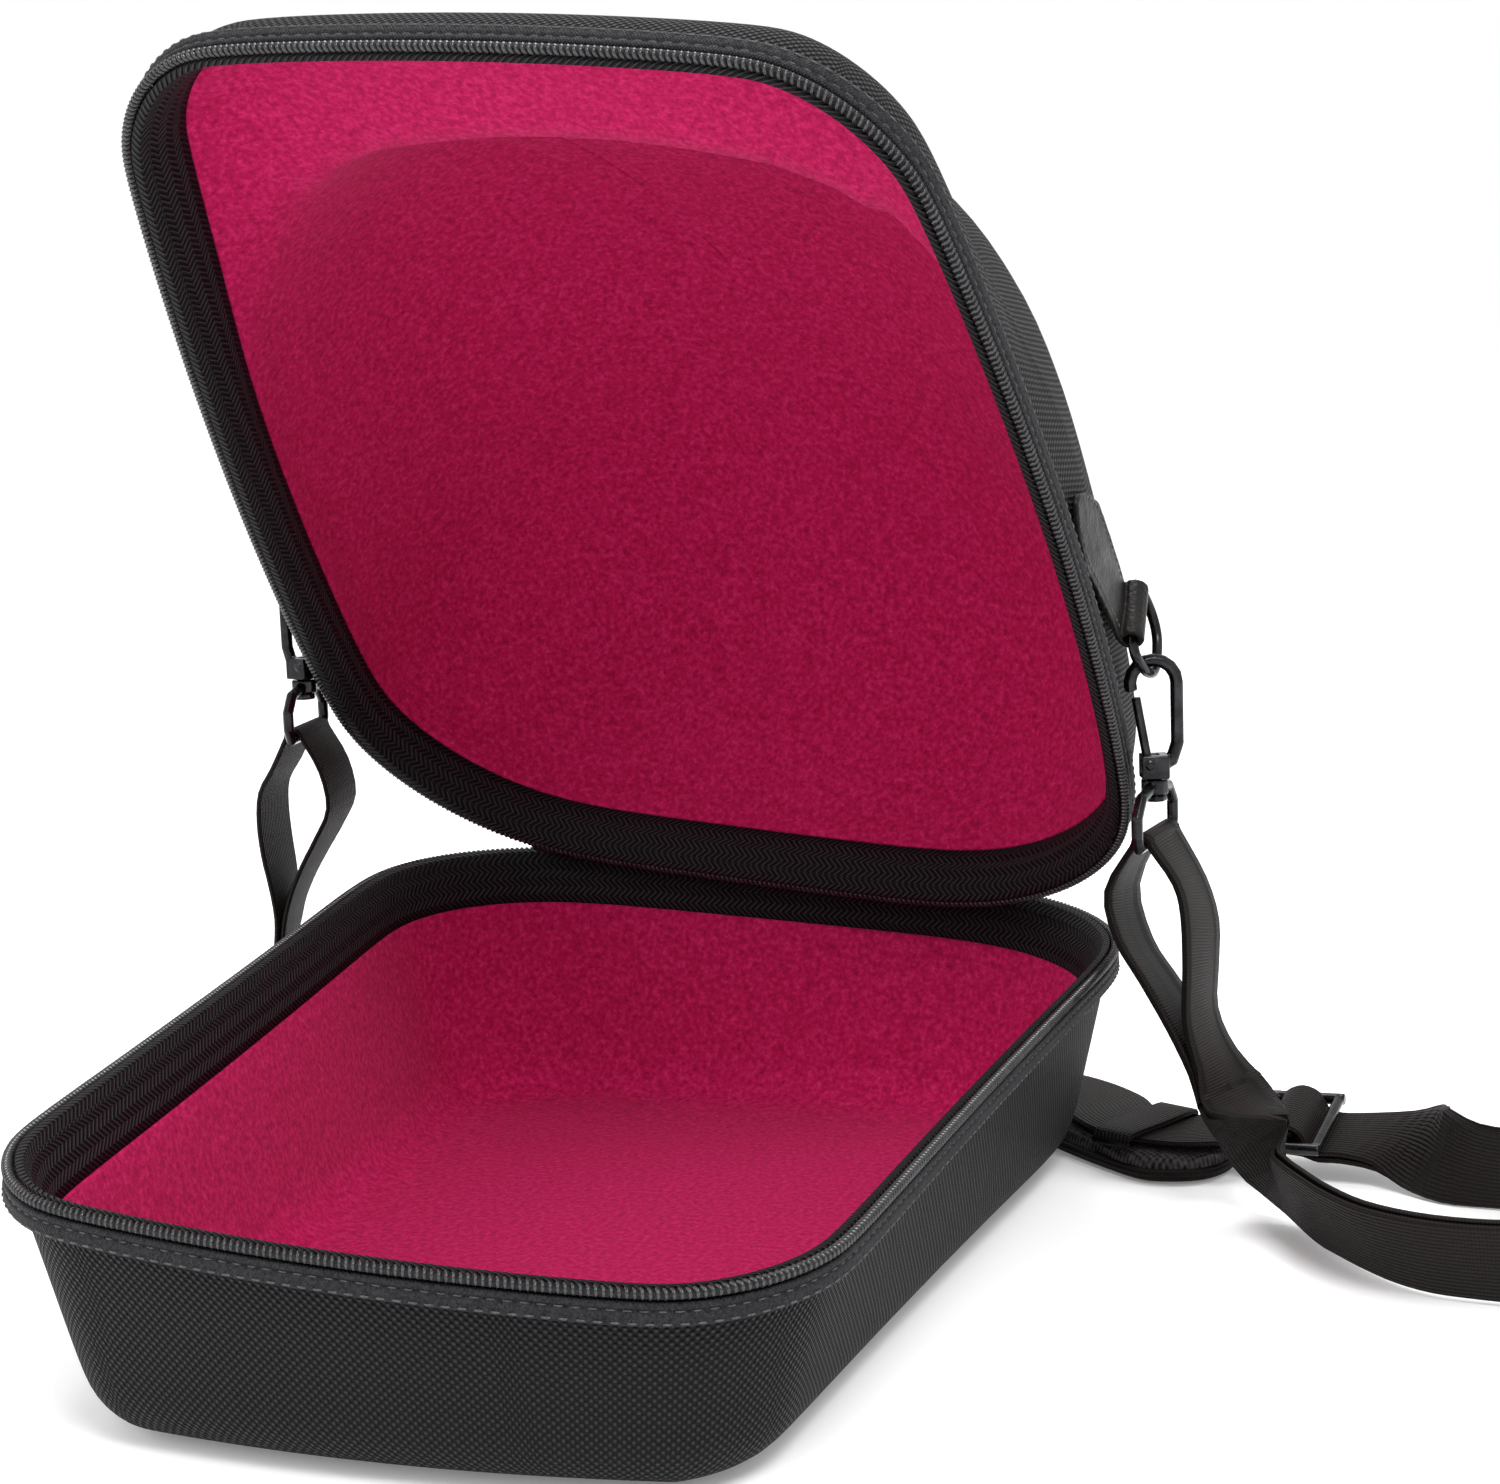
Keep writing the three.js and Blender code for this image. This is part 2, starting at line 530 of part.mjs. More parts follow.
// Hardware of one side: tab, D-ring, snap hook with its gate, and swivel eye. Side is 1 on the right, -1 on the left
const eyes = {};
function makeHardware(side, name) {
  const lidToWorld = new THREE.Matrix4().multiplyMatrices(rimFrame.matrix, lidFrame.matrix);
  const onWall = (y, z, out) => vec(side * (lidSide(y, z) + out), y, z);
  const barUp = onWall(tab_loop_y, tab_loop_z + 1, 0).sub(onWall(tab_loop_y, tab_loop_z - 1, 0)).normalize();
  const outward = vec(side, 0, 0).addScaledVector(barUp, -side * barUp.x).normalize();
  const loopOuter = ring_wire / 2 + ring_play + tab_wall;
  const bar = onWall(tab_loop_y, tab_loop_z, tab_gap).addScaledVector(outward, loopOuter);

  // Leather tab, a spear point at its tip, wrapped round the D-ring's bar
  const tip = vec(0, tab_loop_y - tab_length * Math.cos(rad(tab_tilt)), tab_loop_z - tab_length * Math.sin(rad(tab_tilt)));
  const grid = (out) => [0, 0.12, 0.3, 0.5, 0.7, 0.85, 1].map((t) => {
    const half = t < 0.3 ? mix(1.5, tab_half_width, Math.sin(t / 0.3 * Math.PI / 2)) : mix(tab_half_width, tab_loop_half, (t - 0.3) / 0.7);
    return [-1, -0.33, 0.33, 1].map((s) => onWall(mix(tip.y, tab_loop_y, t), mix(tip.z, tab_loop_z, t) + s * half, out));
  });
  const sleeve = (radius, half) => rod(bar.clone().addScaledVector(barUp, -half), bar.clone().addScaledVector(barUp, half), radius, 12);
  const tabSheet = solidFromGrids(grid(tab_gap + tab_wall), grid(tab_gap));
  const tab = joined([tabSheet, sleeve(loopOuter, tab_loop_half)], [sleeve(ring_wire / 2 + ring_play, ring_bar)]);
  addPiece(`tab_${name}`, tab, leather(), lidFrame);

  // D-ring, swung down from its bar
  const rest = vec(0, 1, 0).addScaledVector(outward, Math.tan(rad(side > 0 ? ring_swing_right : ring_swing_left))).normalize();
  const barHalf = (ring_bar + ring_wire) / 2;
  const depth = ring_depth + ring_wire / 2;
  const bow = range(13).map((i) => {
    const a = Math.PI * i / 12;
    const lift = Math.cos(a);
    return bar.clone().addScaledVector(barUp, barHalf * Math.sign(lift) * Math.abs(lift) ** 0.7).addScaledVector(rest, depth * Math.sin(a) ** 0.7);
  });
  const ringNormal = barUp.clone().cross(rest).normalize();
  addPiece(`d_ring_${name}`, wire(bow, ringNormal, ring_wire / 2, { loop: true }), metal(), lidFrame);

  // The snap hook hangs straight down from the lowest point of the ring
  const low = bow.map((p) => p.clone().applyMatrix4(lidToWorld)).reduce((a, b) => (a.z < b.z ? a : b));
  const hook = new THREE.Group();
  hook.position.set(low.x, low.y, low.z + ring_wire / 2 + fit_gap + hook_wire - hook_length);
  hook.rotation.z = rad(side * hook_turn);
  hook.updateMatrix();
  caseGroup.add(hook);
  const halfWide = (hook_width - hook_wire) / 2;
  const topMiddle = hook_length - hook_wire / 2 - halfWide;
  const bend = range(10).map((i) => vec(side * halfWide * Math.cos(rad(22 * i)), 0, topMiddle + halfWide * Math.sin(rad(22 * i))));
  const foot = [vec(side * 1, 0, 1), vec(side * halfWide * 0.75, 0, 3), vec(side * halfWide, 0, 7.5)];
  const body = wire([...foot, ...bend], vec(0, 1, 0), hook_wire / 2);
  const base = new THREE.BoxGeometry(hook_base, hook_base, 6).translate(0, 0, 1.5);
  const slot = new THREE.BoxGeometry(hook_base * 2, gate_wall + 2 * fit_gap, 8).translate(-side * (hook_base - slot_end), 0, 3);
  const pinAt = vec(-side * 1.6, 0, 2.2);
  const pin = rod(pinAt.clone().add(vec(0, -hook_base / 2 - 0.4, 0)), pinAt.clone().add(vec(0, hook_base / 2 + 0.4, 0)), pin_radius * 0.6);
  const neck = rod(vec(0, 0, -1.2), vec(0, 0, -neck_drop), neck_radius);
  const head = rod(vec(0, 0, -neck_drop - 1.6), vec(0, 0, -neck_drop), neck_radius * 1.7);
  const hookBody = fromManifold([body, base].map(toManifold).reduce((a, b) => a.add(b)).subtract(toManifold(slot))
    .add(toManifold(pin)).add(toManifold(neck)).add(toManifold(head)));
  addPiece(`hook_${name}`, hookBody, metal(), hook);

  // Sprung gate: a lever from the pin to the inside of the hook's tip
  const tipEnd = bend[bend.length - 1];
  const gateTop = vec(tipEnd.x + side * gate_inset, 0, tipEnd.z - hook_wire / 2 - 0.1);
  const lever = rod(pinAt, gateTop, gate_wall / 2);
  const gateFoot = rod(pinAt.clone().add(vec(0, -gate_wall / 2, 0)), pinAt.clone().add(vec(0, gate_wall / 2, 0)), pin_radius * 1.25);
  const gateHole = rod(pinAt.clone().add(vec(0, -hook_base, 0)), pinAt.clone().add(vec(0, hook_base, 0)), pin_radius * 0.6 + 0.25);
  addPiece(`gate_${name}`, joined([lever, gateFoot], [gateHole]), metal(), hook);

  // Swivel eye: a boss on the neck and a flat loop for the webbing
  const eye = new THREE.Group();
  eye.position.set(low.x, low.y, hook.position.z);
  eye.rotation.z = rad(side * eye_turn);
  caseGroup.add(eye);
  const bossTop = -2;
  const bossFoot = -neck_drop + fit_gap;
  const boss = rod(vec(0, 0, bossFoot), vec(0, 0, bossTop), neck_radius * 2);
  const eyeHalf = (eye_inside + eye_wire) / 2;
  const shoulder = (bossTop + bossFoot) / 2;
  const loopPath = [
    vec(neck_radius, 0, shoulder), vec(eyeHalf - 4, 0, shoulder - 1.5), vec(eyeHalf, 0, shoulder - 6),
    vec(eyeHalf, 0, shoulder - eye_height + 3), vec(eyeHalf - 1.5, 0, shoulder - eye_height), vec(-eyeHalf + 1.5, 0, shoulder - eye_height),
    vec(-eyeHalf, 0, shoulder - eye_height + 3), vec(-eyeHalf, 0, shoulder - 6), vec(-eyeHalf + 4, 0, shoulder - 1.5), vec(-neck_radius, 0, shoulder),
  ];
  const bow2 = wire(loopPath, vec(0, 1, 0), eye_wire / 2);
  const bore = rod(vec(0, 0, bossFoot - 3), vec(0, 0, bossTop + 3), neck_radius + fit_gap);
  addPiece(`hook_eye_${name}`, joined([bow2, boss], [bore]), metal(), eye);
  eyes[name] = vec(low.x, low.y, hook.position.z + shoulder - eye_height);
}

// Centre line of the doubled webbing from the right eye to the slider, with the direction of its upper edge
const doubledRun = [
  { x: 131, y: 75, z: 68, wx: 0.1, wy: 0.97, wz: 0.1 },
  { x: 137, y: 72, z: 49, wx: 0.0, wy: 0.87, wz: 0.35 },
  { x: 146, y: 70, z: 33, wx: -0.15, wy: 0.62, wz: 0.6 },
  { x: 154, y: 66, z: 22, wx: -0.3, wy: 0.25, wz: 0.9 },
  { x: 160, y: 60, z: 14, wx: -0.35, wy: -0.05, wz: 0.93 },
  { x: 166, y: 49, z: 12.7, wx: -0.37, wy: -0.23, wz: 0.9 },
  { x: 175, y: 35, z: 12.9, wx: -0.38, wy: -0.29, wz: 0.87 },
  { x: 184, y: 24, z: 12.8, wx: -0.35, wy: -0.38, wz: 0.86 },
  { x: 195, y: 16, z: 12.8, wx: -0.2, wy: -0.46, wz: 0.86 },
  { x: 214, y: 12.5, z: 12.8, wx: 0, wy: -0.48, wz: 0.87 },
  { x: 242, y: 15, z: 13.1, wx: 0, wy: -0.35, wz: 0.94 },
  { x: 272, y: 20, z: 13.7, wx: 0, wy: -0.15, wz: 0.99 },
  { x: 298, y: 34, z: 13.9, wx: 0, wy: 0, wz: 1 },
  { x: 307, y: 56, z: 13.9, wx: 0, wy: 0, wz: 1 },
  { x: 296, y: 76, z: 13.9, wx: 0, wy: 0, wz: 1 },
  { x: 270, y: 85, z: 13.7, wx: 0, wy: -0.1, wz: 0.99 },
  { x: 240, y: 84, z: 12.7, wx: 0, wy: -0.42, wz: 0.9 },
  { x: 214, y: 84, z: 12.6, wx: -0.02, wy: -0.42, wz: 0.9 },
  { x: 203, y: 87.5, z: 12.8, wx: 0, wy: -0.2, wz: 0.95 },
  { x: 197, y: 93.5, z: 12.8, wx: 0.12, wy: 0.1, wz: 0.94 },
  { x: 193, y: 101, z: 11.8, wx: 0.25, wy: 0.5, wz: 0.78 },
  { x: 188.5, y: 107.5, z: 11, wx: 0.25, wy: 0.85, wz: 0.45 },
  { x: 182, y: 110.3, z: 10.5, wx: 0.1, wy: 0.95, wz: 0.28 },
  { x: 177, y: 111, z: 10.3, wx: 0.06, wy: 0.98, wz: 0.2 },
  { x: 172, y: 111.3, z: 10.2, wx: 0.04, wy: 0.98, wz: 0.18 },
];
// The webbing's way from the slider across the pad, and from the pad's far end up to the left eye
const ontoPad = [
  { x: 137, y: 111.8, z: 11.2, wx: 0.1, wy: 0.99, wz: 0.1 },
];
const padLine = [
  { x: 140.5, y: 109.5 },
  { x: 125, y: 110.5 },
  { x: 111, y: 117 },
  { x: 103, y: 131 },
  { x: 90, y: 146 },
  { x: 62, y: 160 },
  { x: 20, y: 167 },
  { x: -40, y: 170 },
  { x: -90, y: 168 },
];
const plainRun = [
  { x: -96, y: 167, z: 9, wx: 0, wy: 1, wz: 0 },
  { x: -116, y: 164, z: 4, wx: -0.2, wy: 1, wz: 0 },
  { x: -137, y: 155, z: 2.2, wx: -0.6, wy: 0.8, wz: 0 },
  { x: -152, y: 141, z: 2.4, wx: -0.9, wy: 0.4, wz: 0 },
  { x: -158, y: 122, z: 4, wx: -0.99, wy: 0.1, wz: 0 },
  { x: -155, y: 108, z: 14, wx: -0.95, wy: 0.3, wz: 0.1 },
  { x: -146, y: 100, z: 34, wx: -0.6, wy: 0.8, wz: 0.1 },
  { x: -138, y: 96, z: 58, wx: -0.3, wy: 0.95, wz: 0 },
  { x: -131, y: 94, z: 90, wx: -0.14, wy: 0.99, wz: 0 },
];

const padCurve = new THREE.CatmullRomCurve3(padLine.map(({ x, y }) => vec(x, y, 0)), false, 'centripetal');
const padLength = padCurve.getLength();
function padFrame(stop) {
  const tangent = padCurve.getTangentAt(stop / padLength);
  return { at: padCurve.getPointAt(stop / padLength), tangent, across: vec(-tangent.y, tangent.x, 0) };
}

const rowAt = ({ x, y, z }) => vec(x, y, z);
const rowAcross = ({ wx, wy, wz }) => vec(wx, wy, wz);

// Evenly spread stations of a smooth line through points, each with a direction across it
function smoothLine(points, across, count) {
  const line = new THREE.CatmullRomCurve3(points, false, 'centripetal');
  const turn = new THREE.CatmullRomCurve3(across, false, 'centripetal');
  return range(count + 1).map((i) => {
    const t = line.getUtoTmapping(i / count);
    return { at: line.getPoint(t), across: turn.getPoint(t) };
  });
}

// Completes stations with the direction of their face, square to the line and to the across direction
function faced(stations) {
  return stations.map(({ at, across }, i) => {
    const before = stations[Math.max(i - 1, 0)].at;
    const after = stations[Math.min(i + 1, stations.length - 1)].at;
    const tangent = after.clone().sub(before).normalize();
    const square = across.clone().addScaledVector(tangent, -across.dot(tangent)).normalize();
    return { at, across: square, face: tangent.clone().cross(square) };
  });
}

// Two layers beside a line of stations that starts at an eye's bar: wide apart there, close together further on
const layer_half = web_wall / 2 + fit_gap;
const bar_turn = eye_wire / 2 + fit_gap + web_wall / 2;
const slider_turn = slider_bar / 2 + 2 * fit_gap + web_wall / 2;
function layer(stations, side) {
  let run = 0;
  return stations.map(({ at, across, face }, i) => {
    run += i ? at.distanceTo(stations[i - 1].at) : 0;
    const opening = mix(bar_turn, split_half, THREE.MathUtils.smoothstep(run, 0, split_peak));
    const apart = mix(opening, layer_half, THREE.MathUtils.smoothstep(run, split_peak, split_peak + split_length));
    return { at: at.clone().addScaledVector(face, side * apart), across };
  });
}

// The turn over an eye's bar, from the side that the face looks away from to the other
function barTurn(first, next) {
  const up = first.at.clone().sub(next.at).normalize();
  return [-60, -30, 0, 30, 60].map((a) => ({
    at: first.at.clone().addScaledVector(first.face, bar_turn * Math.sin(rad(a))).addScaledVector(up, bar_turn * Math.cos(rad(a))),
    across: first.across,
  }));
}

function makeStrap() {
  const eyeAcross = (name, side) => vec(Math.cos(rad(side * eye_turn)), Math.sin(rad(side * eye_turn)), 0).multiplyScalar(side);
  const below = (name) => eyes[name].clone().add(vec(0, 0, -hang));
  const rightRows = [eyes.right, below('right'), ...doubledRun.map(rowAt)];
  const rightAcross = [eyeAcross('right', 1), eyeAcross('right', 1), ...doubledRun.map(rowAcross)];
  const right = faced(smoothLine(rightRows, rightAcross, 37));

  // Slider frame: along towards the hook, up away from the floor
  const end = right[right.length - 1];
  const across = end.across;
  const up = end.face.clone().negate();
  const along = across.clone().cross(up);
  const centre = end.at.clone().addScaledVector(along, -slider_lead).addScaledVector(up, slider_turn + layer_half);
  const onSlider = (a, u) => centre.clone().addScaledVector(along, a).addScaledVector(up, u);
  const place = ([a, u]) => ({ at: onSlider(a, u), across });
  const spacing = slider_slot + slider_bar / 2;
  const over = slider_turn + 2 * layer_half;
  const tuck = [[slider_turn * 0.7, slider_turn * 0.75], [0, slider_turn], [-slider_turn * 0.8, slider_turn * 0.6], [-slider_turn, 0], [-slider_turn * 0.8, -slider_turn * 0.6], [0, -slider_turn]];
  const lead = [[spacing * 0.55, -slider_turn - 0.6], [spacing, -slider_turn - 2 * layer_half]];
  const cross = [[spacing, -slider_turn], [spacing * 0.7, -slider_turn * 0.45], [over * 0.85, over * 0.65], [0, over], [-over * 0.85, over * 0.65], [-spacing * 0.7, -slider_turn * 0.45], [-spacing, -slider_turn - 0.3], [-spacing - 3, -slider_turn - 0.5], [-spacing - 6, -slider_turn - 0.3]];

  const padTop = pad_thickness + 2 * fit_gap + web_wall / 2;
  const steps = 12;
  const onPad = range(steps + 1).map((i) => {
    const { at, across: side } = padFrame(mix(strap_lead, padLength - strap_lead, i / steps));
    return { at: at.clone().setZ(padTop), across: side.clone().negate() };
  });
  const leftRows = [...plainRun.map(rowAt), below('left'), eyes.left].reverse();
  const leftAcross = [...plainRun.map(rowAcross), eyeAcross('left', -1), eyeAcross('left', -1)].reverse();
  const left = faced(smoothLine(leftRows, leftAcross, 24));
  const middleRows = [...ontoPad.map((row) => ({ at: rowAt(row), across: rowAcross(row) })), ...onPad];
  const middle = smoothLine(middleRows.map((r) => r.at), middleRows.map((r) => r.across), 24);

  const inner = layer(right, 1);
  const outer = layer(right, -1);
  const leftMain = layer(left, 1).map((station, i) => ({ ...station, at: station.at.clone().lerp(left[i].at, THREE.MathUtils.smoothstep(i, 10, 20)) }));
  const leftTail = layer(left, -1).slice(0, 9);
  const stations = [
    ...tuck.map(place), ...lead.map(place),
    ...inner.reverse(), ...barTurn(right[0], right[1]).reverse(), ...outer,
    ...cross.map(place), ...middle,
    ...leftMain.reverse(), ...barTurn(left[0], left[1]).reverse(), ...leftTail,
  ];
  addPiece('strap_webbing', ribbonSolid(faced(stations), web_width, web_wall), webbing());

  // Slider: two side rails and three bars
  const railOut = web_width / 2 + fit_gap * 4 + slider_side / 2;
  const rail = (side) => {
    const from = onSlider(-spacing - slider_bar / 2, 0).addScaledVector(across, side * railOut);
    const to = onSlider(spacing + slider_bar / 2, 0).addScaledVector(across, side * railOut);
    return rod(from, to, slider_side / 2);
  };
  const bar = (a) => {
    const from = onSlider(a, 0).addScaledVector(across, -railOut);
    return rod(from, onSlider(a, 0).addScaledVector(across, railOut), slider_bar / 2);
  };
  addPiece('strap_slider', joined([rail(1), rail(-1), bar(0), bar(spacing), bar(-spacing)]), metal());
}

// Shoulder pad on the floor with a keeper across each end
function makePad() {
  const length = padLength;
  const round = pad_width / 2;
  const stops = [0.4, 3, 8, 15, round, 40, 60, 80, 100, 120, 140, 160, 180, 200, 220, length - round, length - 15, length - 8, length - 3, length - 0.4];
  const section = [[-1, 0.3], [-0.94, 0.7], [-0.86, 1], [0.86, 1], [0.94, 0.7], [1, 0.3], [0.94, 0], [-0.94, 0]];
  const rings = stops.map((stop) => {
    const { at, across } = padFrame(stop);
    const fromEnd = Math.min(stop, length - stop, round);
    const half = Math.sqrt(round ** 2 - (round - fromEnd) ** 2);
    return section.map(([side, up]) => at.clone().addScaledVector(across, side * half).add(vec(0, 0, up * pad_thickness)));
  });
  addPiece('shoulder_pad', solidFromRings(rings), padding());
  const keeper = (stop, name) => {
    const { at, tangent, across } = padFrame(stop);
    const low = pad_thickness + fit_gap + sleeve_wall / 2;
    const high = low + web_wall + 3 * fit_gap;
    const rows = [[-17.3, low], [-16.2, low], [-14.8, high], [0, high], [14.8, high], [16.2, low], [17.3, low]];
    const stations = rows.map(([side, z]) => ({ at: at.clone().addScaledVector(across, side).add(vec(0, 0, z)), across: tangent }));
    addPiece(`pad_loop_${name}`, ribbonSolid(faced(stations), sleeve_length, sleeve_wall), ribbon());
  };
  keeper(sleeve_inset, 'right');
  keeper(length - sleeve_inset, 'left');
}

makeTray();
makeLid();
makeRims();
makeHinge();
makeHardware(1, 'right');
makeHardware(-1, 'left');
makeStrap();
makePad();

export default caseGroup;
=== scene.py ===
# Looks of the carrier case for baseball caps: woven nylon shells, felt linings, coil zip, leather tabs,
# blackened hardware, ribbed webbing and a bound shoulder pad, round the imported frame. Metres, +Z up.
import json
import math
from itertools import permutations

import bmesh
import bpy
import numpy as np
from mathutils import Matrix, Vector
from mathutils.bvhtree import BVHTree

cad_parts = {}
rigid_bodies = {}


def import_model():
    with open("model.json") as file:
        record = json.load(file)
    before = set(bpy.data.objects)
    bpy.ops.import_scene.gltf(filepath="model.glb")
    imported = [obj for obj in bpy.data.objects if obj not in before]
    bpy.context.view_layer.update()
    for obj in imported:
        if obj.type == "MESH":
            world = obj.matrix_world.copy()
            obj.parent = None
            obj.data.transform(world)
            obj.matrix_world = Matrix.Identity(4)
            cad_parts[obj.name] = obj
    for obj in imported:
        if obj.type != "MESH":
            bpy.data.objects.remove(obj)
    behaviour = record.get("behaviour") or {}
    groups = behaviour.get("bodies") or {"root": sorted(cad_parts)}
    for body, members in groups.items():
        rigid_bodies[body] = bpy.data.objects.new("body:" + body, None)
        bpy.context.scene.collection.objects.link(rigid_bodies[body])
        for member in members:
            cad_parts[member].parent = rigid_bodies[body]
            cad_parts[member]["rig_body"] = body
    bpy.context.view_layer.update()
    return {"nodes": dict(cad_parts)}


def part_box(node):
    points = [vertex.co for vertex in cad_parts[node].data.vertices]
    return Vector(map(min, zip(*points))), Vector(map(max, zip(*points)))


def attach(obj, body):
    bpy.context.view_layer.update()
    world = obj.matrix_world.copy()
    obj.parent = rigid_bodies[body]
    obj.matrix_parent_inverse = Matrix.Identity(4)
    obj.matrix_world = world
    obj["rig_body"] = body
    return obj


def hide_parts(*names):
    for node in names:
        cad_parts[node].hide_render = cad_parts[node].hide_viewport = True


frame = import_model()
MM = 0.001

# Camera, from the photograph's vanishing lines
EYE = Vector((0.2429, -0.6113, 0.2314))
AZIMUTH = math.radians(18.23)
ELEVATION = math.radians(8.54)
ROLL = math.radians(-2.16)
LENS = 64.86

# Frames of the two rims, as the case stands open
RIM_HEIGHT = 63.4 * MM
RIM_PITCH = math.radians(3.4)
RIM_ROLL = math.radians(3.8)
LID_PLACE = Vector((-3, 134.3, 0.3)) * MM
LID_OPENING = math.radians(51.4)
LID_LEAN = math.radians(1.0)
LID_TWIST = math.radians(-4.1)
LID_MIDDLE = Vector((0, -145, 0)) * MM

# Weaves: how far apart their yarns lie
NYLON_PITCH = 2.1 * MM
RIBBON_PITCH = (0.8 * MM, 1.0 * MM)
CHEVRON_WIDTH = 5 * MM
CHEVRON_PITCH = 1.9 * MM
RIB_PITCH = 2.5 * MM
PICK_PITCH = 1.6 * MM
PAD_PITCH = 1.9 * MM

# Sewing
STITCH_LENGTH = 2.1 * MM
STITCH_RADIUS = 0.3 * MM
BAND_STITCH_PITCH = 3.4 * MM
TAB_STITCH_PITCH = 3.0 * MM
TAB_SEAM_INSET = 1.9 * MM
TAB_SEAM_START = 0.09
TAB_SEAM_SPAN = 0.72
TAB_SEAM_POINTS = 26
HINGE_SEAM = 3 * MM

# Zip coil: the pitch of its turns, and how they lean and fill their space
COIL_PITCH = 1.5 * MM
COIL_LEAN = 0.32
COIL_REACH = 0.56
COIL_THICKNESS = 0.40
COIL_RISE = 0.52
CORE_CORNERS = ((0.12, 0.30), (0.9, 0.30), (0.9, 0.80), (0.12, 0.80))

# Pad
PAD_RIPPLE = 0.25 * MM
PAD_WAVES = (230, 260)
BINDING_RADIUS = 1.7 * MM
BINDING_FLATNESS = 0.75
BINDING_SIDES = 8

# Cloth on the shells: points between two corners of the rim, and how level a face is to count as flat
OUTLINE_STEPS = 12
FLAT_FROM = 0.72

RIM = (
    Matrix.Translation((0, 0, RIM_HEIGHT))
    @ Matrix.Rotation(RIM_PITCH, 4, "X")
    @ Matrix.Rotation(RIM_ROLL, 4, "Y")
)
LID_TURN = (
    Matrix.Rotation(LID_TWIST, 4, "Z")
    @ Matrix.Rotation(LID_LEAN, 4, "Y")
    @ Matrix.Rotation(-LID_OPENING, 4, "X")
)
LID = RIM @ Matrix.Translation(LID_PLACE) @ LID_TURN @ Matrix.Translation(LID_MIDDLE)


# Materials


class Finish:
    """A node material, built up from one Principled shader."""

    def __init__(self, name, colour, roughness, metallic=0.0, **fixed):
        self.material = bpy.data.materials.new(name)
        self.material.use_nodes = True
        self.tree = self.material.node_tree
        self.shader = self.tree.nodes["Principled BSDF"]
        self.shader.inputs["Base Color"].default_value = (*colour, 1)
        self.shader.inputs["Roughness"].default_value = roughness
        self.shader.inputs["Metallic"].default_value = metallic
        for socket, value in fixed.items():
            self.shader.inputs[socket.replace("_", " ")].default_value = value

    def add(self, kind, **settings):
        node = self.tree.nodes.new(kind)
        for key, value in settings.items():
            setattr(node, key, value)
        return node

    def link(self, source, target):
        self.tree.links.new(source, target)

    def math(self, operation, first, second=0.0):
        node = self.add("ShaderNodeMath", operation=operation)
        for socket, value in zip(node.inputs, (first, second)):
            if isinstance(value, bpy.types.NodeSocket):
                self.link(value, socket)
            else:
                socket.default_value = value
        return node.outputs[0]

    def axes(self, source="UV"):
        split = self.add("ShaderNodeSeparateXYZ")
        self.link(self.add("ShaderNodeTexCoord").outputs[source], split.inputs[0])
        return split.outputs[0], split.outputs[1]

    def wave(self, value, pitch):
        """A sine of the value, from -1 to 1, that repeats at the pitch."""
        return self.math("SINE", self.math("MULTIPLY", value, 2 * math.pi / pitch))

    def noise(self, scale, detail=4.0, roughness=0.5):
        node = self.add("ShaderNodeTexNoise")
        node.inputs["Scale"].default_value = scale
        node.inputs["Detail"].default_value = detail
        node.inputs["Roughness"].default_value = roughness
        self.link(self.add("ShaderNodeTexCoord").outputs["Object"], node.inputs["Vector"])
        return node.outputs["Fac"]

    def cells(self, scale):
        node = self.add("ShaderNodeTexVoronoi")
        node.inputs["Scale"].default_value = scale
        self.link(self.add("ShaderNodeTexCoord").outputs["Object"], node.inputs["Vector"])
        return node.outputs["Distance"]

    def ramp(self, value, stops, socket):
        """Colours or grey levels for a socket, picked by a value from 0 to 1."""
        node = self.add("ShaderNodeValToRGB")
        elements = node.color_ramp.elements
        while len(elements) < len(stops):
            elements.new(0.5)
        for element, (place, colour) in zip(elements, stops):
            element.position = place
            element.color = (*colour, 1) if isinstance(colour, tuple) else (colour, colour, colour, 1)
        self.link(value, node.inputs["Fac"])
        self.link(node.outputs["Color"], self.shader.inputs[socket])

    def bump(self, *layers):
        """Relief from several layers, each a height and how far it stands out."""
        last = None
        for height, distance in layers:
            node = self.add("ShaderNodeBump")
            node.inputs["Distance"].default_value = distance
            self.link(height, node.inputs["Height"])
            if last is not None:
                self.link(last, node.inputs["Normal"])
            last = node.outputs["Normal"]
        self.link(last, self.shader.inputs["Normal"])


def make_nylon():
    """A ballistic weave: raised dots in diagonal rows, with painted highlight on the dots."""
    finish = Finish("nylon", (0.012, 0.012, 0.014), 0.5, Specular_IOR_Level=0.16)
    u, v = finish.axes()
    dots = finish.math("MULTIPLY", finish.wave(u, NYLON_PITCH), finish.wave(v, NYLON_PITCH))
    # Base colour lighter on the raised dots: partly the weave's pattern, partly painted highlight standing
    # in for the glints on its dots.
    finish.ramp(dots, ((0.0, (0.003, 0.003, 0.0035)), (0.8, (0.030, 0.030, 0.034))), "Base Color")
    finish.ramp(dots, ((0.0, 0.75), (1.0, 0.36)), "Roughness")
    finish.bump((dots, 0.75 * MM), (finish.noise(900), 0.06 * MM))
    return finish.material


def make_felt():
    finish = Finish("felt", (0.5, 0.01, 0.08), 0.95, Specular_IOR_Level=0.12, Sheen_Weight=0.15)
    finish.shader.inputs["Sheen Tint"].default_value = (1.0, 0.25, 0.5, 1)
    finish.shader.inputs["Sheen Roughness"].default_value = 0.45
    grain = finish.noise(620, 6.0, roughness=0.7)
    stops = ((0.28, (0.20, 0.002, 0.032)), (0.5, (0.40, 0.006, 0.075)), (0.74, (0.60, 0.028, 0.15)))
    finish.ramp(grain, stops, "Base Color")
    finish.bump((grain, 0.35 * MM), (finish.cells(900), 0.12 * MM), (finish.noise(30), 0.6 * MM))
    return finish.material


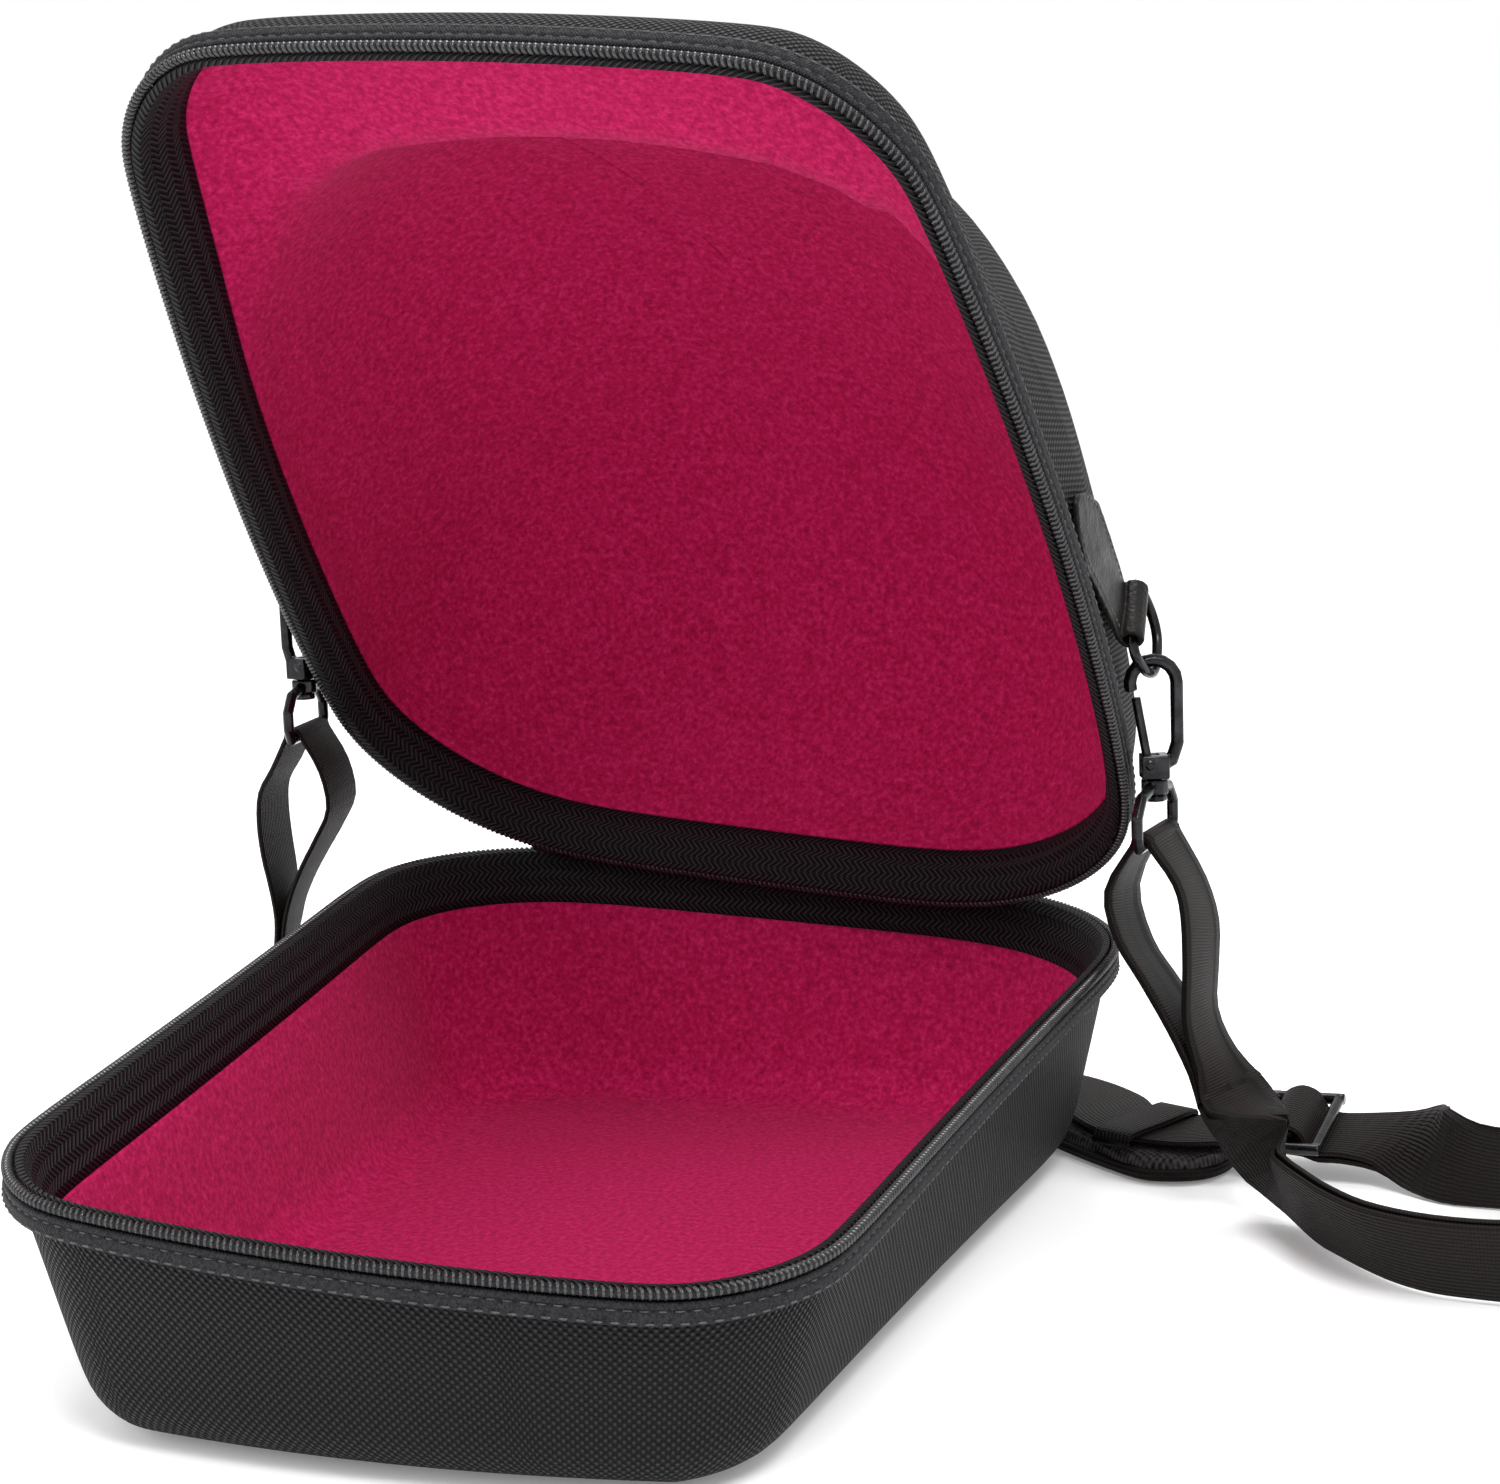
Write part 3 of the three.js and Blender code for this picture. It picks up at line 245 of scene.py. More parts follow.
def make_ribbon():
    finish = Finish("ribbon", (0.02, 0.02, 0.022), 0.62, Specular_IOR_Level=0.16)
    u, v = finish.axes()
    grain = finish.math("MULTIPLY", finish.wave(u, RIBBON_PITCH[0]), finish.wave(v, RIBBON_PITCH[1]))
    speckle = finish.noise(1400, 3.0)
    finish.ramp(speckle, ((0.3, (0.004, 0.004, 0.005)), (0.7, (0.026, 0.026, 0.029))), "Base Color")
    finish.bump((grain, 0.12 * MM), (speckle, 0.2 * MM))
    return finish.material


def make_herringbone():
    """Slanted yarns that turn back at every half chevron."""
    finish = Finish("herringbone", (0.016, 0.016, 0.018), 0.6, Specular_IOR_Level=0.16)
    u, v = finish.axes()
    zigzag = finish.math("PINGPONG", v, CHEVRON_WIDTH / 2)
    yarns = finish.wave(finish.math("ADD", u, zigzag), CHEVRON_PITCH)
    finish.ramp(yarns, ((0.0, (0.003, 0.003, 0.004)), (0.8, (0.03, 0.03, 0.034))), "Base Color")
    finish.bump((yarns, 0.5 * MM), (finish.noise(1500), 0.06 * MM))
    return finish.material


def make_coil():
    finish = Finish("coil", (0.016, 0.016, 0.018), 0.26, Specular_IOR_Level=0.6)
    wear = finish.noise(260)
    finish.ramp(wear, ((0.35, (0.010, 0.010, 0.011)), (0.7, (0.03, 0.03, 0.033))), "Base Color")
    finish.ramp(finish.noise(700), ((0.3, 0.2), (0.75, 0.4)), "Roughness")
    finish.bump((finish.noise(1200), 0.03 * MM))
    return finish.material


def make_leather():
    finish = Finish("leather", (0.012, 0.011, 0.011), 0.42, Specular_IOR_Level=0.14)
    pores = finish.cells(900)
    stops = ((0.3, (0.004, 0.0035, 0.0035)), (0.72, (0.014, 0.012, 0.011)))
    finish.ramp(finish.noise(90), stops, "Base Color")
    finish.ramp(finish.noise(240), ((0.3, 0.34), (0.75, 0.55)), "Roughness")
    finish.bump((pores, 0.14 * MM), (finish.noise(160), 0.12 * MM))
    return finish.material


def make_metal():
    finish = Finish("black_metal", (0.03, 0.03, 0.033), 0.2, 0.85, Specular_IOR_Level=0.7)
    stops = ((0.35, (0.008, 0.008, 0.009)), (0.7, (0.03, 0.03, 0.033)))
    finish.ramp(finish.noise(180), stops, "Base Color")
    finish.ramp(finish.noise(420, 6.0), ((0.35, 0.14), (0.75, 0.36)), "Roughness")
    finish.bump((finish.noise(600), 0.02 * MM))
    return finish.material


def make_webbing():
    """Ribs that run along the strap, crossed by fainter picks."""
    finish = Finish("webbing", (0.012, 0.009, 0.008), 0.55, Specular_IOR_Level=0.1)
    u, v = finish.axes()
    ribs = finish.math("ABSOLUTE", finish.wave(v, RIB_PITCH))
    picks = finish.math("ABSOLUTE", finish.wave(u, PICK_PITCH))
    low_picks = finish.math("ADD", finish.math("MULTIPLY", picks, 0.45), 0.55)
    cloth = finish.math("MULTIPLY", ribs, low_picks)
    finish.ramp(cloth, ((0.05, (0.002, 0.0016, 0.0015)), (0.8, (0.012, 0.0085, 0.0075))), "Base Color")
    finish.bump((cloth, 0.45 * MM), (finish.noise(1300), 0.06 * MM))
    return finish.material


def make_pad_cloth():
    finish = Finish("pad_cloth", (0.06, 0.056, 0.06), 0.85, Specular_IOR_Level=0.12)
    u, v = finish.axes("Object")
    weave = finish.math("MULTIPLY", finish.wave(u, PAD_PITCH), finish.wave(v, PAD_PITCH))
    speckle = finish.noise(520, 5.0, roughness=0.7)
    mixed = finish.math("ADD", finish.math("MULTIPLY", weave, 0.18), speckle)
    finish.ramp(mixed, ((0.3, (0.008, 0.007, 0.008)), (0.7, (0.075, 0.068, 0.072))), "Base Color")
    finish.bump((weave, 0.25 * MM), (speckle, 0.3 * MM))
    return finish.material


def make_thread():
    finish = Finish("thread", (0.03, 0.03, 0.032), 0.5, Specular_IOR_Level=0.5)
    twist = finish.noise(2500, 2.0)
    finish.ramp(twist, ((0.3, (0.012, 0.012, 0.013)), (0.7, (0.07, 0.07, 0.075))), "Base Color")
    finish.bump((twist, 0.05 * MM))
    return finish.material


NYLON = make_nylon()
FELT = make_felt()
RIBBON = make_ribbon()
HERRINGBONE = make_herringbone()
COIL = make_coil()
LEATHER = make_leather()
METAL = make_metal()
WEBBING = make_webbing()
PAD_CLOTH = make_pad_cloth()
THREAD = make_thread()


# Mesh tools


def welded(node, quads=True):
    """The node's faces, joined up again, into quads if asked."""
    bm = bmesh.new()
    bm.from_mesh(frame["nodes"][node].data)
    bmesh.ops.remove_doubles(bm, verts=bm.verts, dist=0.002 * MM)
    if quads:
        limits = {"angle_face_threshold": math.pi, "angle_shape_threshold": math.pi}
        bmesh.ops.join_triangles(bm, faces=bm.faces, **limits)
    bmesh.ops.recalc_face_normals(bm, faces=bm.faces)
    return bm


def show(piece, material, node=None, body=None):
    """Gives a piece its finish and its body, and hides the node that it stands for."""
    piece.data.materials.clear()
    piece.data.materials.append(material)
    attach(piece, body or frame["nodes"][node]["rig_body"])
    if node:
        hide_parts(node)


def new_object(name, mesh):
    piece = bpy.data.objects.new(name, mesh)
    bpy.context.scene.collection.objects.link(piece)
    return piece


def from_bmesh(name, bm):
    mesh = bpy.data.meshes.new(name)
    bm.to_mesh(mesh)
    bm.free()
    mesh.shade_smooth()
    return new_object(name, mesh)


def applied(piece):
    """Turns the piece's modifiers into plain mesh."""
    graph = bpy.context.evaluated_depsgraph_get()
    mesh = bpy.data.meshes.new_from_object(piece.evaluated_get(graph))
    piece.modifiers.clear()
    piece.data = mesh
    mesh.shade_smooth()
    return piece


def smoothed(name, node, levels=2, crease_angle=50, crease=0.85):
    """A finer copy of a node: rounded surfaces, with its sharp edges kept."""
    bm = welded(node)
    layer = bm.edges.layers.float.new("crease_edge")
    for edge in bm.edges:
        if len(edge.link_faces) == 2 and edge.calc_face_angle(0) > math.radians(crease_angle):
            edge[layer] = crease
    piece = from_bmesh(name, bm)
    piece.modifiers.new("round", "SUBSURF").levels = levels
    return applied(piece)


def cast(name, node, voxel, rounds, swell=0.0):
    """A remeshed, softened copy of a node, for parts cast in metal or cut from thick leather."""
    piece = from_bmesh(name, welded(node))
    remesh = piece.modifiers.new("remesh", "REMESH")
    remesh.mode = "VOXEL"
    remesh.voxel_size = voxel
    soften = piece.modifiers.new("soften", "SMOOTH")
    soften.iterations = rounds
    soften.factor = 0.5
    if swell:
        grow = piece.modifiers.new("grow", "DISPLACE")
        grow.strength = swell
        grow.mid_level = 0.0
    return applied(piece)


def walk(vert, edge):
    """Vertices of the edge loop that leaves vert along edge, going straight on at each crossing."""
    line = [vert]
    while True:
        vert = edge.other_vert(vert)
        if vert is line[0]:
            return line
        line.append(vert)
        if len(vert.link_edges) != 4:
            return line
        beside = {e for face in edge.link_faces for e in face.edges}
        edge = next(e for e in vert.link_edges if e not in beside)


def strip_rows(node, corners):
    """Corner points of a closed strip: one row for each corner of its section, right round."""
    bm = welded(node)
    bm.verts.ensure_lookup_table()
    loops = [walk(bm.verts[0], edge) for edge in bm.verts[0].link_edges]
    ring = [loop for loop in loops if len(loop) == corners][-1]
    around = {frozenset((ring[i].index, ring[i - 1].index)) for i in range(len(ring))}
    rows = []
    for start in ring:
        along = [e for e in start.link_edges if frozenset(v.index for v in e.verts) not in around]
        towards = along[0]
        if rows:
            first = rows[0][1]
            towards = min(along, key=lambda e: (e.other_vert(start).co - first).length)
        rows.append([v.co.copy() for v in walk(start, towards)])
    bm.free()
    return np.array([[list(p) for p in row] for row in rows])


def spread(ring, order):
    """How far apart two rings of vertices lie, taken pair by pair."""
    return sum((a.co - b.co).length_squared for a, b in zip(ring, order))


def ribbon_rows(node):
    """The four edges of a ribbon, found by spreading from one end; corners 0 and 1 lie across its width."""
    quads = welded(node)
    caps = [f for f in quads.faces if len(f.verts) == 4 and all(len(v.link_faces) == 3 for v in f.verts)]
    start = [v.co.copy() for v in caps[0].verts]
    quads.free()
    if (start[0] - start[1]).length < (start[1] - start[2]).length:
        start = start[1:] + start[:1]
    bm = welded(node, quads=False)
    ring = [min(bm.verts, key=lambda v: (v.co - place).length) for place in start]
    seen = set(ring)
    rows = [[np.array(v.co) for v in ring]]
    while True:
        after = {e.other_vert(v) for v in ring for e in v.link_edges} - seen
        if len(after) != 4:
            break
        seen |= after
        after = sorted(after, key=lambda v: v.index)
        ring = min(permutations(after), key=lambda order: spread(ring, order))
        rows.append([np.array(v.co) for v in ring])
    bm.free()
    return np.array(rows).transpose(1, 0, 2)


def blended(points, weights, whole):
    return sum(weight * point for weight, point in zip(weights, points)) / whole


def closed_spline(points, steps):
    """Uniform cubic B-spline round a closed row of points."""
    count = len(points)
    found = []
    for i in range(count):
        near = [points[(i + k - 1) % count] for k in range(4)]
        for step in range(steps):
            t = step / steps
            weights = ((1 - t) ** 3, 3 * t**3 - 6 * t**2 + 4, -3 * t**3 + 3 * t**2 + 3 * t + 1, t**3)
            found.append(blended(near, weights, 6))
    return np.array(found)


def open_spline(points, steps):
    """Rounded line through every point of an open row."""
    count = len(points)
    found = []
    for i in range(count - 1):
        near = [points[min(max(i + k - 1, 0), count - 1)] for k in range(4)]
        for step in range(steps):
            t = step / steps
            weights = (
                -(t**3) + 2 * t**2 - t,
                3 * t**3 - 5 * t**2 + 2,
                -3 * t**3 + 4 * t**2 + t,
                t**3 - t**2,
            )
            found.append(blended(near, weights, 2))
    found.append(points[-1])
    return np.array(found)


def within(corners, s, t):
    """A point of a four-cornered section: s runs from corner 0 to 1, t from corner 0 to 3."""
    near = (1 - s) * (1 - t) * corners[0] + s * (1 - t) * corners[1]
    return near + s * t * corners[2] + (1 - s) * t * corners[3]


def sweep(name, sections, closed):
    """A skin over rows of section points, with UVs in metres: u along, v round the section."""
    sections = np.array(sections)
    count, corners = sections.shape[:2]
    bm = bmesh.new()
    layer = bm.loops.layers.uv.new("UVMap")
    verts = [[bm.verts.new(p) for p in row] for row in sections]
    middle = sections.mean(axis=1)
    steps = np.linalg.norm(np.diff(middle, axis=0, append=middle[:1]), axis=1)
    along = np.concatenate(([0], np.cumsum(steps)))
    first = sections[0]
    sides = np.linalg.norm(np.roll(first, -1, axis=0) - first, axis=1)
    around = np.concatenate(([0], np.cumsum(sides)))
    for i in range(count if closed else count - 1):
        after = (i + 1) % count
        for j in range(corners):
            side = (j + 1) % corners
            face = bm.faces.new((verts[i][j], verts[i][side], verts[after][side], verts[after][j]))
            places = ((along[i], around[j]), (along[i], around[j + 1]))
            places += ((along[i + 1], around[j + 1]), (along[i + 1], around[j]))
            for loop, place in zip(face.loops, places):
                loop[layer].uv = place
    if not closed:
        bm.faces.new(verts[0])
        bm.faces.new(verts[-1][::-1])
    bmesh.ops.recalc_face_normals(bm, faces=bm.faces)
    return from_bmesh(name, bm)


def outline_lengths(node, to_local):
    """Polar angle and running length of a rim, for laying cloth straight along its walls."""
    points = [to_local @ v.co for v in frame["nodes"][node].data.vertices]
    farthest = {}
    for p in points:
        angle = round(math.atan2(p.y, p.x), 2)
        if angle not in farthest or p.xy.length > farthest[angle].xy.length:
            farthest[angle] = p
    ordered = sorted(farthest.values(), key=lambda p: math.atan2(p.y, p.x))
    line = []
    for i, p in enumerate(ordered):
        q = ordered[(i + 1) % len(ordered)]
        line += [p.xy.lerp(q.xy, k / OUTLINE_STEPS) for k in range(OUTLINE_STEPS)]
    angles = [math.atan2(p.y, p.x) for p in line]
    steps = [(line[i] - line[i - 1]).length if i else 0.0 for i in range(len(line))]
    return np.array(angles), np.cumsum(steps)


def lay_cloth(piece, rim_node, local):
    """UVs in metres: round the rim and up on walls, straight from above on flat parts."""
    to_local = local.inverted()
    angles, lengths = outline_lengths(rim_node, to_local)
    order = np.argsort(angles)
    mesh = piece.data
    layer = mesh.uv_layers.new(name="UVMap")
    spots = [to_local @ v.co for v in mesh.vertices]
    turn = to_local.to_3x3()
    total = lengths.max()
    for polygon in mesh.polygons:
        flat = abs((turn @ polygon.normal).z) > FLAT_FROM
        values = []
        for index in polygon.vertices:
            p = spots[index]
            u = float(np.interp(math.atan2(p.y, p.x), angles[order], lengths[order]))
            values.append((p.x, p.y) if flat else (u, p.z))
        if not flat and max(v[0] for v in values) - min(v[0] for v in values) > total / 2:
            values = [(u - total if u > total / 2 else u, v) for u, v in values]
        for loop, value in zip(polygon.loop_indices, values):
            layer.data[loop].uv = value


def beads(name, places, sides, levels):
    """Many small rounded bars in one mesh, each a unit ball put through its own matrix."""
    ball = bmesh.new()
    bmesh.ops.create_uvsphere(ball, u_segments=sides, v_segments=levels, radius=1.0)
    points = np.array([[*v.co, 1] for v in ball.verts])
    faces = [[v.index for v in face.verts] for face in ball.faces]
    ball.free()
    verts = np.concatenate([(points @ np.array(place).T)[:, :3] for place in places])
    skin = [[k + i * len(points) for k in face] for i in range(len(places)) for face in faces]
    mesh = bpy.data.meshes.new(name)
    mesh.from_pydata(verts.tolist(), [], skin)
    mesh.shade_smooth()
    return new_object(name, mesh)


def add_stitches(name, places, node):
    """A row of short threads. Each place is a middle, a direction along and a direction outwards."""
    found = []
    for middle, along, out in places:
        across = along.cross(out).normalized()
        turned = Matrix((across, out, along)).transposed().to_4x4()
        size = Matrix.Diagonal((STITCH_RADIUS, STITCH_RADIUS * 0.8, STITCH_LENGTH / 2, 1))
        found.append(Matrix.Translation(middle) @ turned @ size)
    threads = beads(name, found, sides=6, levels=5)
    show(threads, THREAD, body=frame["nodes"][node]["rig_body"])


def stitch_line(points, outs, pitch):
    """Stitch places at an even pitch along a line that has an outward direction at each point."""
    places = []
    left = pitch / 2
    for i in range(len(points) - 1):
        a, b = Vector(points[i]), Vector(points[i + 1])
        step = (b - a).length
        while left < step:
            share = left / step
            out = Vector(outs[i]).lerp(Vector(outs[i + 1]), share).normalized()
            places.append((a.lerp(b, share), (b - a).normalized(), out))
            left += pitch
        left -= step
    return places


# Shells and linings


def make_shells():
    for side, local in (("tray", RIM), ("lid", LID)):
        shell = smoothed(f"{side}_woven_shell", f"{side}_shell")
        lay_cloth(shell, f"{side}_zip_teeth", local)
        show(shell, NYLON, f"{side}_shell")
        show(smoothed(f"{side}_felt", f"{side}_lining"), FELT, f"{side}_lining")


# Rim trim: ribbon band, coil and herringbone tape


# In the search for a strip's outer corner at the opening, height counts this much of outness
HEIGHT_WEIGHT = 0.35


def rim_sections(node, corners, local):
    """The strip's sections, corner 0 the outermost one on the opening's side, then inwards."""
    rows = strip_rows(node, corners)
    to_local = np.array(local.inverted())
    flat = np.array([[(to_local @ np.append(p, 1))[:3] for p in row] for row in rows])
    opening = 1.0 if local is RIM else -1.0
    outness = np.array([np.linalg.norm(row[:, :2], axis=1).mean() for row in flat])
    height = opening * flat[:, :, 2].mean(axis=1)
    first = int(np.argmax(outness + HEIGHT_WEIGHT * height))
    order = [(first + k) % corners for k in range(corners)]
    if outness[order[1]] > outness[order[-1]]:
        order = [order[0]] + order[:0:-1]
    smooth = np.array([closed_spline(rows[k], 5) for k in order])
    return smooth.transpose(1, 0, 2)


# Across the band from its edge at the opening to its foot: how far down, and how far it stands out
BAND_PROFILE = [
    (0.00, 0.70),
    (0.03, 0.95),
    (0.10, 1.06),
    (0.24, 1.06),
    (0.30, 0.86),
    (0.36, 0.86),
    (0.42, 1.08),
    (0.52, 1.16),
    (0.86, 1.16),
    (0.96, 1.06),
    (1.00, 0.80),
]
# The profile's points that matter to the two rows of stitches
BAND_SEAMS = {"low": 8, "high": 5}
BAND_FRONT = 6
BAND_BACK = len(BAND_PROFILE)
SEAM_SHIFT = 0.07


def make_band(side, local):
    """The ribbon band round a rim, stepped in section, with its two rows of stitches."""
    sections = rim_sections(f"{side}_rim_band", 4, local)
    skin = []
    for outer_top, inner_top, inner_foot, outer_foot in sections:
        fall = outer_foot - outer_top
        depth = outer_top - inner_top
        front = [outer_top + fall * down + depth * (out - 1) for down, out in BAND_PROFILE]
        skin.append(front + [inner_foot, inner_top])
    show(sweep(f"{side}_ribbon", skin, True), RIBBON, f"{side}_rim_band")
    for name, row in BAND_SEAMS.items():
        line = [section[row] * (1 - SEAM_SHIFT) + section[row - 1] * SEAM_SHIFT for section in skin]
        outs = [section[BAND_FRONT] - section[BAND_BACK] for section in skin]
        places = stitch_line(line + line[:1], outs + outs[:1], BAND_STITCH_PITCH)
        add_stitches(f"{side}_ribbon_{name}_stitches", places, f"{side}_rim_band")


def make_teeth(side, local):
    """The coil's turns as slanted bars, on a core that closes the gaps between them."""
    sections = rim_sections(f"{side}_zip_teeth", 4, local)
    core = [[within(section, s, t) for s, t in CORE_CORNERS] for section in sections]
    middles = np.array([s.mean(axis=0) for s in sections])
    steps = np.linalg.norm(np.roll(middles, -1, axis=0) - middles, axis=1)
    lengths = np.concatenate(([0], np.cumsum(steps)))
    count = int(lengths[-1] / COIL_PITCH)
    places = []
    for k in range(count):
        at = lengths[-1] * k / count
        i = int(np.searchsorted(lengths, at, side="right")) - 1
        share = (at - lengths[i]) / steps[i]
        after = (i + 1) % len(sections)
        corner = (1 - share) * sections[i] + share * sections[after]
        along = Vector(middles[after] - middles[i]).normalized()
        out = Vector(corner[0] - corner[1])
        up = Vector(corner[0] - corner[3])
        middle = Vector(within(corner, 0.5, 0.5))
        slant = (out.normalized() + along * COIL_LEAN).normalized() * out.length * COIL_REACH
        thick = along * COIL_PITCH * COIL_THICKNESS
        turned = Matrix((slant, thick, up * COIL_RISE)).transposed().to_4x4()
        places.append(Matrix.Translation(middle) @ turned)
    show(beads(f"{side}_coil", places, sides=8, levels=6), COIL, f"{side}_zip_teeth")
    show(sweep(f"{side}_coil_core", core, True), RIBBON, body="case")


def make_tape(side, local):
    """The woven tape inside the rim, with a second point on each side of its section."""
    sections = rim_sections(f"{side}_zip_tape", 8, local)
    skin = []
    for corners in sections:
        ring = []
        for k, corner in enumerate(corners):
            after = corners[(k + 1) % len(corners)]
            ring += [corner, (corner + after) / 2]
        skin.append(ring)
    show(sweep(f"{side}_herringbone_tape", skin, True), HERRINGBONE, f"{side}_zip_tape")


def make_hinge():
    """The cloth hinge, with its upper edge sewn down on the lid's ribbon."""
    hinge = smoothed("cloth_hinge", "hinge_strip", crease_angle=40, crease=1.0)
    ribbon = BVHTree.FromObject(bpy.data.objects["lid_ribbon"], bpy.context.evaluated_depsgraph_get())
    for vert in hinge.data.vertices:
        nearest, _, _, gap = ribbon.find_nearest(vert.co)
        if gap < HINGE_SEAM:
            vert.co += (nearest - vert.co) * (1 - gap / HINGE_SEAM) ** 0.5
    show(hinge, RIBBON, "hinge_strip")


def make_rims():
    for side, local in (("tray", RIM), ("lid", LID)):
        make_band(side, local)
        make_teeth(side, local)
        make_tape(side, local)
    make_hinge()


# Leather tabs and hardware


def make_tab(name):
    """A leather tab, with stitches that run down both of its long edges."""
    node = f"tab_{name}"
    tab = cast(f"leather_tab_{name}", node, voxel=0.35 * MM, rounds=4)
    show(tab, LEATHER, node)
    tree = BVHTree.FromObject(tab, bpy.context.evaluated_depsgraph_get())
    side = 1 if name == "right" else -1
    out = (LID.to_3x3() @ Vector((side, 0, 0.25))).normalized()
    points = np.array([list(v.co) for v in tab.data.vertices])
    middle = points.mean(axis=0)
    _, axes = np.linalg.eigh(np.cov((points - middle).T))
    long = Vector(axes[:, 2])
    wide = out.cross(long).normalized()
    long = wide.cross(out).normalized()
    run = (points - middle) @ np.array(long)
    slice_width = 1.2 * MM
    lift = 0.05 * MM
    above = 30 * MM
    places = []
    for sign in (1, -1):
        line = []
        normals = []
        for k in range(TAB_SEAM_POINTS + 1):
            share = TAB_SEAM_START + TAB_SEAM_SPAN * k / TAB_SEAM_POINTS
            at = run.min() + share * (run.max() - run.min())
            across = (points[np.abs(run - at) < slice_width] - middle) @ np.array(wide)
            limit = across.max() if sign > 0 else across.min()
            spot = Vector(middle) + long * at + wide * (limit - sign * TAB_SEAM_INSET)
            hit, normal, _, _ = tree.ray_cast(spot + out * above, -out)
            if hit:
                line.append(hit + normal * lift)
                normals.append(normal)
        places += stitch_line(line, normals, TAB_STITCH_PITCH)
    add_stitches(f"leather_tab_{name}_stitches", places, node)


# Cast pieces of one side: their name, their node, and how finely and how full they are cast
CASTINGS = [
    ("snap_hook", "hook", 0.28 * MM, 0.08 * MM),
    ("snap_gate", "gate", 0.2 * MM, 0.05 * MM),
    ("swivel_eye", "hook_eye", 0.28 * MM, 0.08 * MM),
]


def make_hardware():
    for side in ("right", "left"):
        make_tab(side)
        ring = smoothed(f"d_ring_wire_{side}", f"d_ring_{side}", crease_angle=80)
        show(ring, METAL, f"d_ring_{side}")
        for name, node, voxel, swell in CASTINGS:
            casting = cast(f"{name}_{side}", f"{node}_{side}", voxel, rounds=3, swell=swell)
            show(casting, METAL, f"{node}_{side}")
    slider = cast("web_slider", "strap_slider", voxel=0.3 * MM, rounds=3, swell=0.06 * MM)
    show(slider, METAL, "strap_slider")


# Shoulder strap and pad

# Section of the webbing, as shares of its width and its thickness
WEB_SECTION = [
    (0.0, 0.5),
    (0.006, 0.15),
    (0.03, 0.0),
    (0.5, 0.0),
    (0.97, 0.0),
    (0.994, 0.15),
    (1.0, 0.5),
    (0.994, 0.85),
    (0.97, 1.0),
    (0.5, 1.0),
    (0.03, 1.0),
    (0.006, 0.85),
]


def web_skin(node, steps):
    """Sections of woven webbing along a ribbon, its edges rounded off."""
    edges = np.array([open_spline(row, steps) for row in ribbon_rows(node)]).transpose(1, 0, 2)
    return [[within(corners, s, t) for s, t in WEB_SECTION] for corners in edges]


def make_strap():
    show(sweep("ribbed_webbing", web_skin("strap_webbing", 3), False), WEBBING, "strap_webbing")
    for name in ("right", "left"):
        node = f"pad_loop_{name}"
        show(sweep(f"keeper_{name}", web_skin(node, 5), False), WEBBING, node)


def order_outline(points):
    """Puts a pad's edge points in order, each followed by the nearest one that is left."""
    left = list(points)
    line = [left.pop(0)]
    while left:
        nearest = min(left, key=lambda p: (p - line[-1]).length)
        left.remove(nearest)
        line.append(nearest)
    return line


def make_pad_body():
    """The stuffed pad, its upper face a little uneven."""
    pad = smoothed("bound_pad", "shoulder_pad", levels=3, crease_angle=200)
    low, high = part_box("shoulder_pad")
    thickness = high.z - low.z
    for vert in pad.data.vertices:
        lift = max(vert.co.z - low.z, 0) / thickness
        ripple = PAD_RIPPLE * math.sin(vert.co.x * PAD_WAVES[0]) * math.sin(vert.co.y * PAD_WAVES[1])
        vert.co.z += ripple * lift
    show(pad, PAD_CLOTH, "shoulder_pad")


def make_binding():
    """The tape that binds the pad's edge, a flattened tube along its widest level."""
    bm = welded("shoulder_pad")
    levels = sorted({round(v.co.z, 5) for v in bm.verts})
    edge_level = levels[1]
    outline = [v.co.copy() for v in bm.verts if abs(v.co.z - edge_level) < 0.02 * MM]
    bm.free()
    centre = closed_spline(np.array([list(p) for p in order_outline(outline)]), 4)
    up = np.array((0, 0, 1))
    skin = []
    for i, p in enumerate(centre):
        along = centre[(i + 1) % len(centre)] - centre[i - 1]
        side = np.cross(along / np.linalg.norm(along), up)
        turns = [2 * math.pi * k / BINDING_SIDES for k in range(BINDING_SIDES)]
        wide = BINDING_RADIUS * BINDING_FLATNESS
        skin.append([p + side * wide * math.cos(a) + up * BINDING_RADIUS * math.sin(a) for a in turns])
    show(sweep("pad_binding", skin, True), WEBBING, body="case")


# Camera, floor and light


